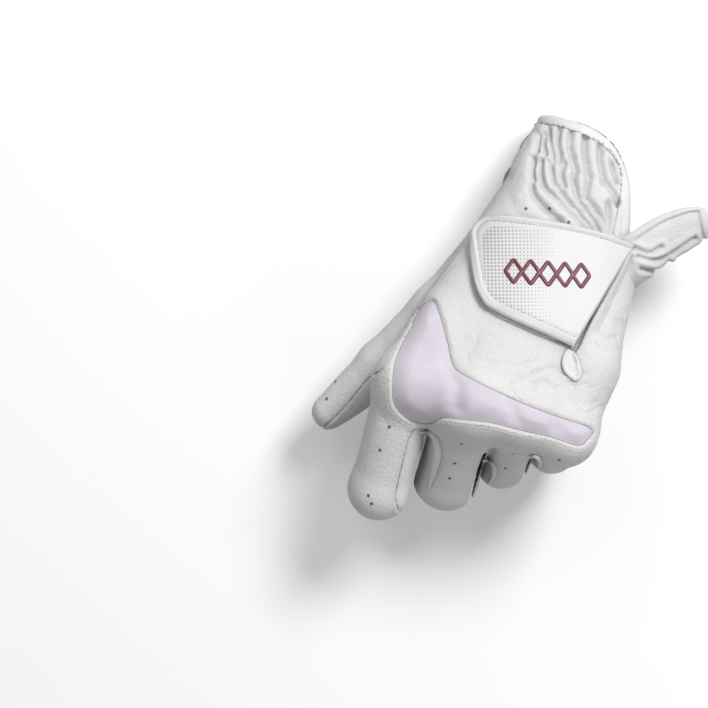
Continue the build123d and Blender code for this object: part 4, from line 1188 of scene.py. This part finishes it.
loop_patch.data.materials.append(pile("loop_pile", (0.80, 0.80, 0.80), (0.55, 0.55, 0.56), 1.6, 0.8))
hook_patch.data.materials.append(pile("hook_tape", (0.74, 0.74, 0.73), (0.50, 0.50, 0.50), 0.9, 0.7))
tear.data.materials.append(M_HEM)
lap.data.materials.append(M_LEATHER)

# elastic lining that shows past the thumb side of the cuff
EC = lambda s: K0 + AXH * s + HBACK * 1.5
ns_, nt_ = 60, 14
E1 = []
for s in np.linspace(74, 106, ns_):
    for a_ in np.linspace(math.radians(166), math.radians(198), nt_):
        d_ = HSIDE * math.cos(a_) + HBACK * math.sin(a_)
        d_ = d_ / np.linalg.norm(d_)
        E1.append((s, a_, *d_))
E1 = np.array(E1); dirs = E1[:, 2:]
cent = np.array([EC(s) for s in E1[:, 0]])
t = np.full(len(E1), 45.0)
for _ in range(60):
    t = t - outer(cent + dirs * t[:, None]) * 0.8
rib = 0.12 * np.sin(E1[:, 0] * 2 * math.pi / 1.5)
bulge = -0.9 + rib + 1.8 * gauss(E1[:, 0] - 84, 4.5) + 2.1 * gauss(E1[:, 0] - 99, 6.5) - 1.5 * ((E1[:, 1] - math.radians(181)) / math.radians(14)) ** 2
Eo = cent + dirs * (t + bulge)[:, None]; Ei = cent + dirs * (t - 0.5)[:, None]
ii, jj = np.meshgrid(np.arange(ns_ - 1), np.arange(nt_ - 1), indexing="ij")
a = (ii * nt_ + jj).ravel(); q = np.column_stack([a, a + 1, a + nt_ + 1, a + nt_]); n_ = ns_ * nt_
ring = np.concatenate([np.arange(nt_), np.arange(1, ns_) * nt_ + nt_ - 1, (ns_ - 1) * nt_ + np.arange(nt_ - 2, -1, -1), np.arange(ns_ - 2, 0, -1) * nt_])
r2 = np.roll(ring, -1)
elastic = make("cuff_elastic", np.vstack([Eo, Ei]), np.vstack([q, q[:, ::-1] + n_, np.column_stack([r2, ring, ring + n_, r2 + n_])]))
me_, ntx, b = material("ribbed_elastic", (0.30, 0.30, 0.32), 0.75, sheen=0.3, spec=0.2)
mp = coords(ntx); wv = node(ntx, "ShaderNodeTexWave", Scale=1.1, Distortion=0.5); ntx.links.new(mp.outputs[0], wv.inputs["Vector"])
mx = node(ntx, "ShaderNodeMix", data_type="RGBA"); mx.inputs[6].default_value = (0.22, 0.22, 0.24, 1); mx.inputs[7].default_value = (0.38, 0.38, 0.40, 1)
ntx.links.new(wv.outputs["Fac"], mx.inputs[0]); ntx.links.new(mx.outputs[2], b.inputs["Base Color"])
bp = node(ntx, "ShaderNodeBump", Strength=0.5); bp.inputs["Distance"].default_value = 0.0003
ntx.links.new(wv.outputs["Fac"], bp.inputs["Height"]); ntx.links.new(bp.outputs[0], b.inputs["Normal"])
elastic.data.materials.append(me_)
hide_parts("wrist_elastic"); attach(elastic, "hand")

# ------------------------------------------------------------------ stage, light, camera
bpy.ops.mesh.primitive_plane_add(size=6, location=(0, 0, -0.0004))
floor = bpy.context.object; floor.name = "floor"
fm = bpy.data.materials.new("floor_white"); fm.use_nodes = True
fb = fm.node_tree.nodes["Principled BSDF"]
fb.inputs["Base Color"].default_value = (0.97, 0.97, 0.97, 1); fb.inputs["Roughness"].default_value = 0.9
fb.inputs["Specular IOR Level"].default_value = 0.1
fb.inputs["Emission Color"].default_value = (1, 1, 1, 1); fb.inputs["Emission Strength"].default_value = 0.17
floor.data.materials.append(fm)
floor.visible_diffuse = False


def area(name, loc, target, size, power, color=(1, 1, 1)):
    l = bpy.data.lights.new(name, "AREA"); l.size = size; l.energy = power; l.color = color
    o = bpy.data.objects.new(name, l); bpy.context.scene.collection.objects.link(o)
    o.location = loc
    o.rotation_euler = (Vector(target) - Vector(loc)).to_track_quat("-Z", "Y").to_euler()
    return o


area("key", (0.62, 0.42, 0.95), (0, 0, 0.03), 0.40, 10.2)
area("fill", (-0.25, 0.75, 0.95), (0, 0, 0.03), 0.8, 2.0)
area("low", (0.2, -0.85, 0.5), (0, 0, 0.03), 0.6, 1.1)
world = bpy.data.worlds.new("world"); bpy.context.scene.world = world
world.use_nodes = True
world.node_tree.nodes["Background"].inputs["Color"].default_value = (1, 1, 1, 1)
world.node_tree.nodes["Background"].inputs["Strength"].default_value = 0.24
cam = bpy.data.cameras.new("camera"); co = bpy.data.objects.new("camera", cam)
bpy.context.scene.collection.objects.link(co)
cam.lens = 149.5; cam.sensor_width = 36.0
co.location = Vector(to_row(EYE))
right = Vector((0.948, -0.317, 0)).normalized(); upv = Vector((0.317, 0.948, 0)).normalized()
R = Matrix((right, upv, Vector((0, 0, 1)))).transposed()
co.rotation_euler = R.to_euler()
bpy.context.scene.camera = co
bpy.context.scene.view_settings.view_transform = "Standard"
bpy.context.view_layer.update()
print("made", round(time.time() - t_start, 1))
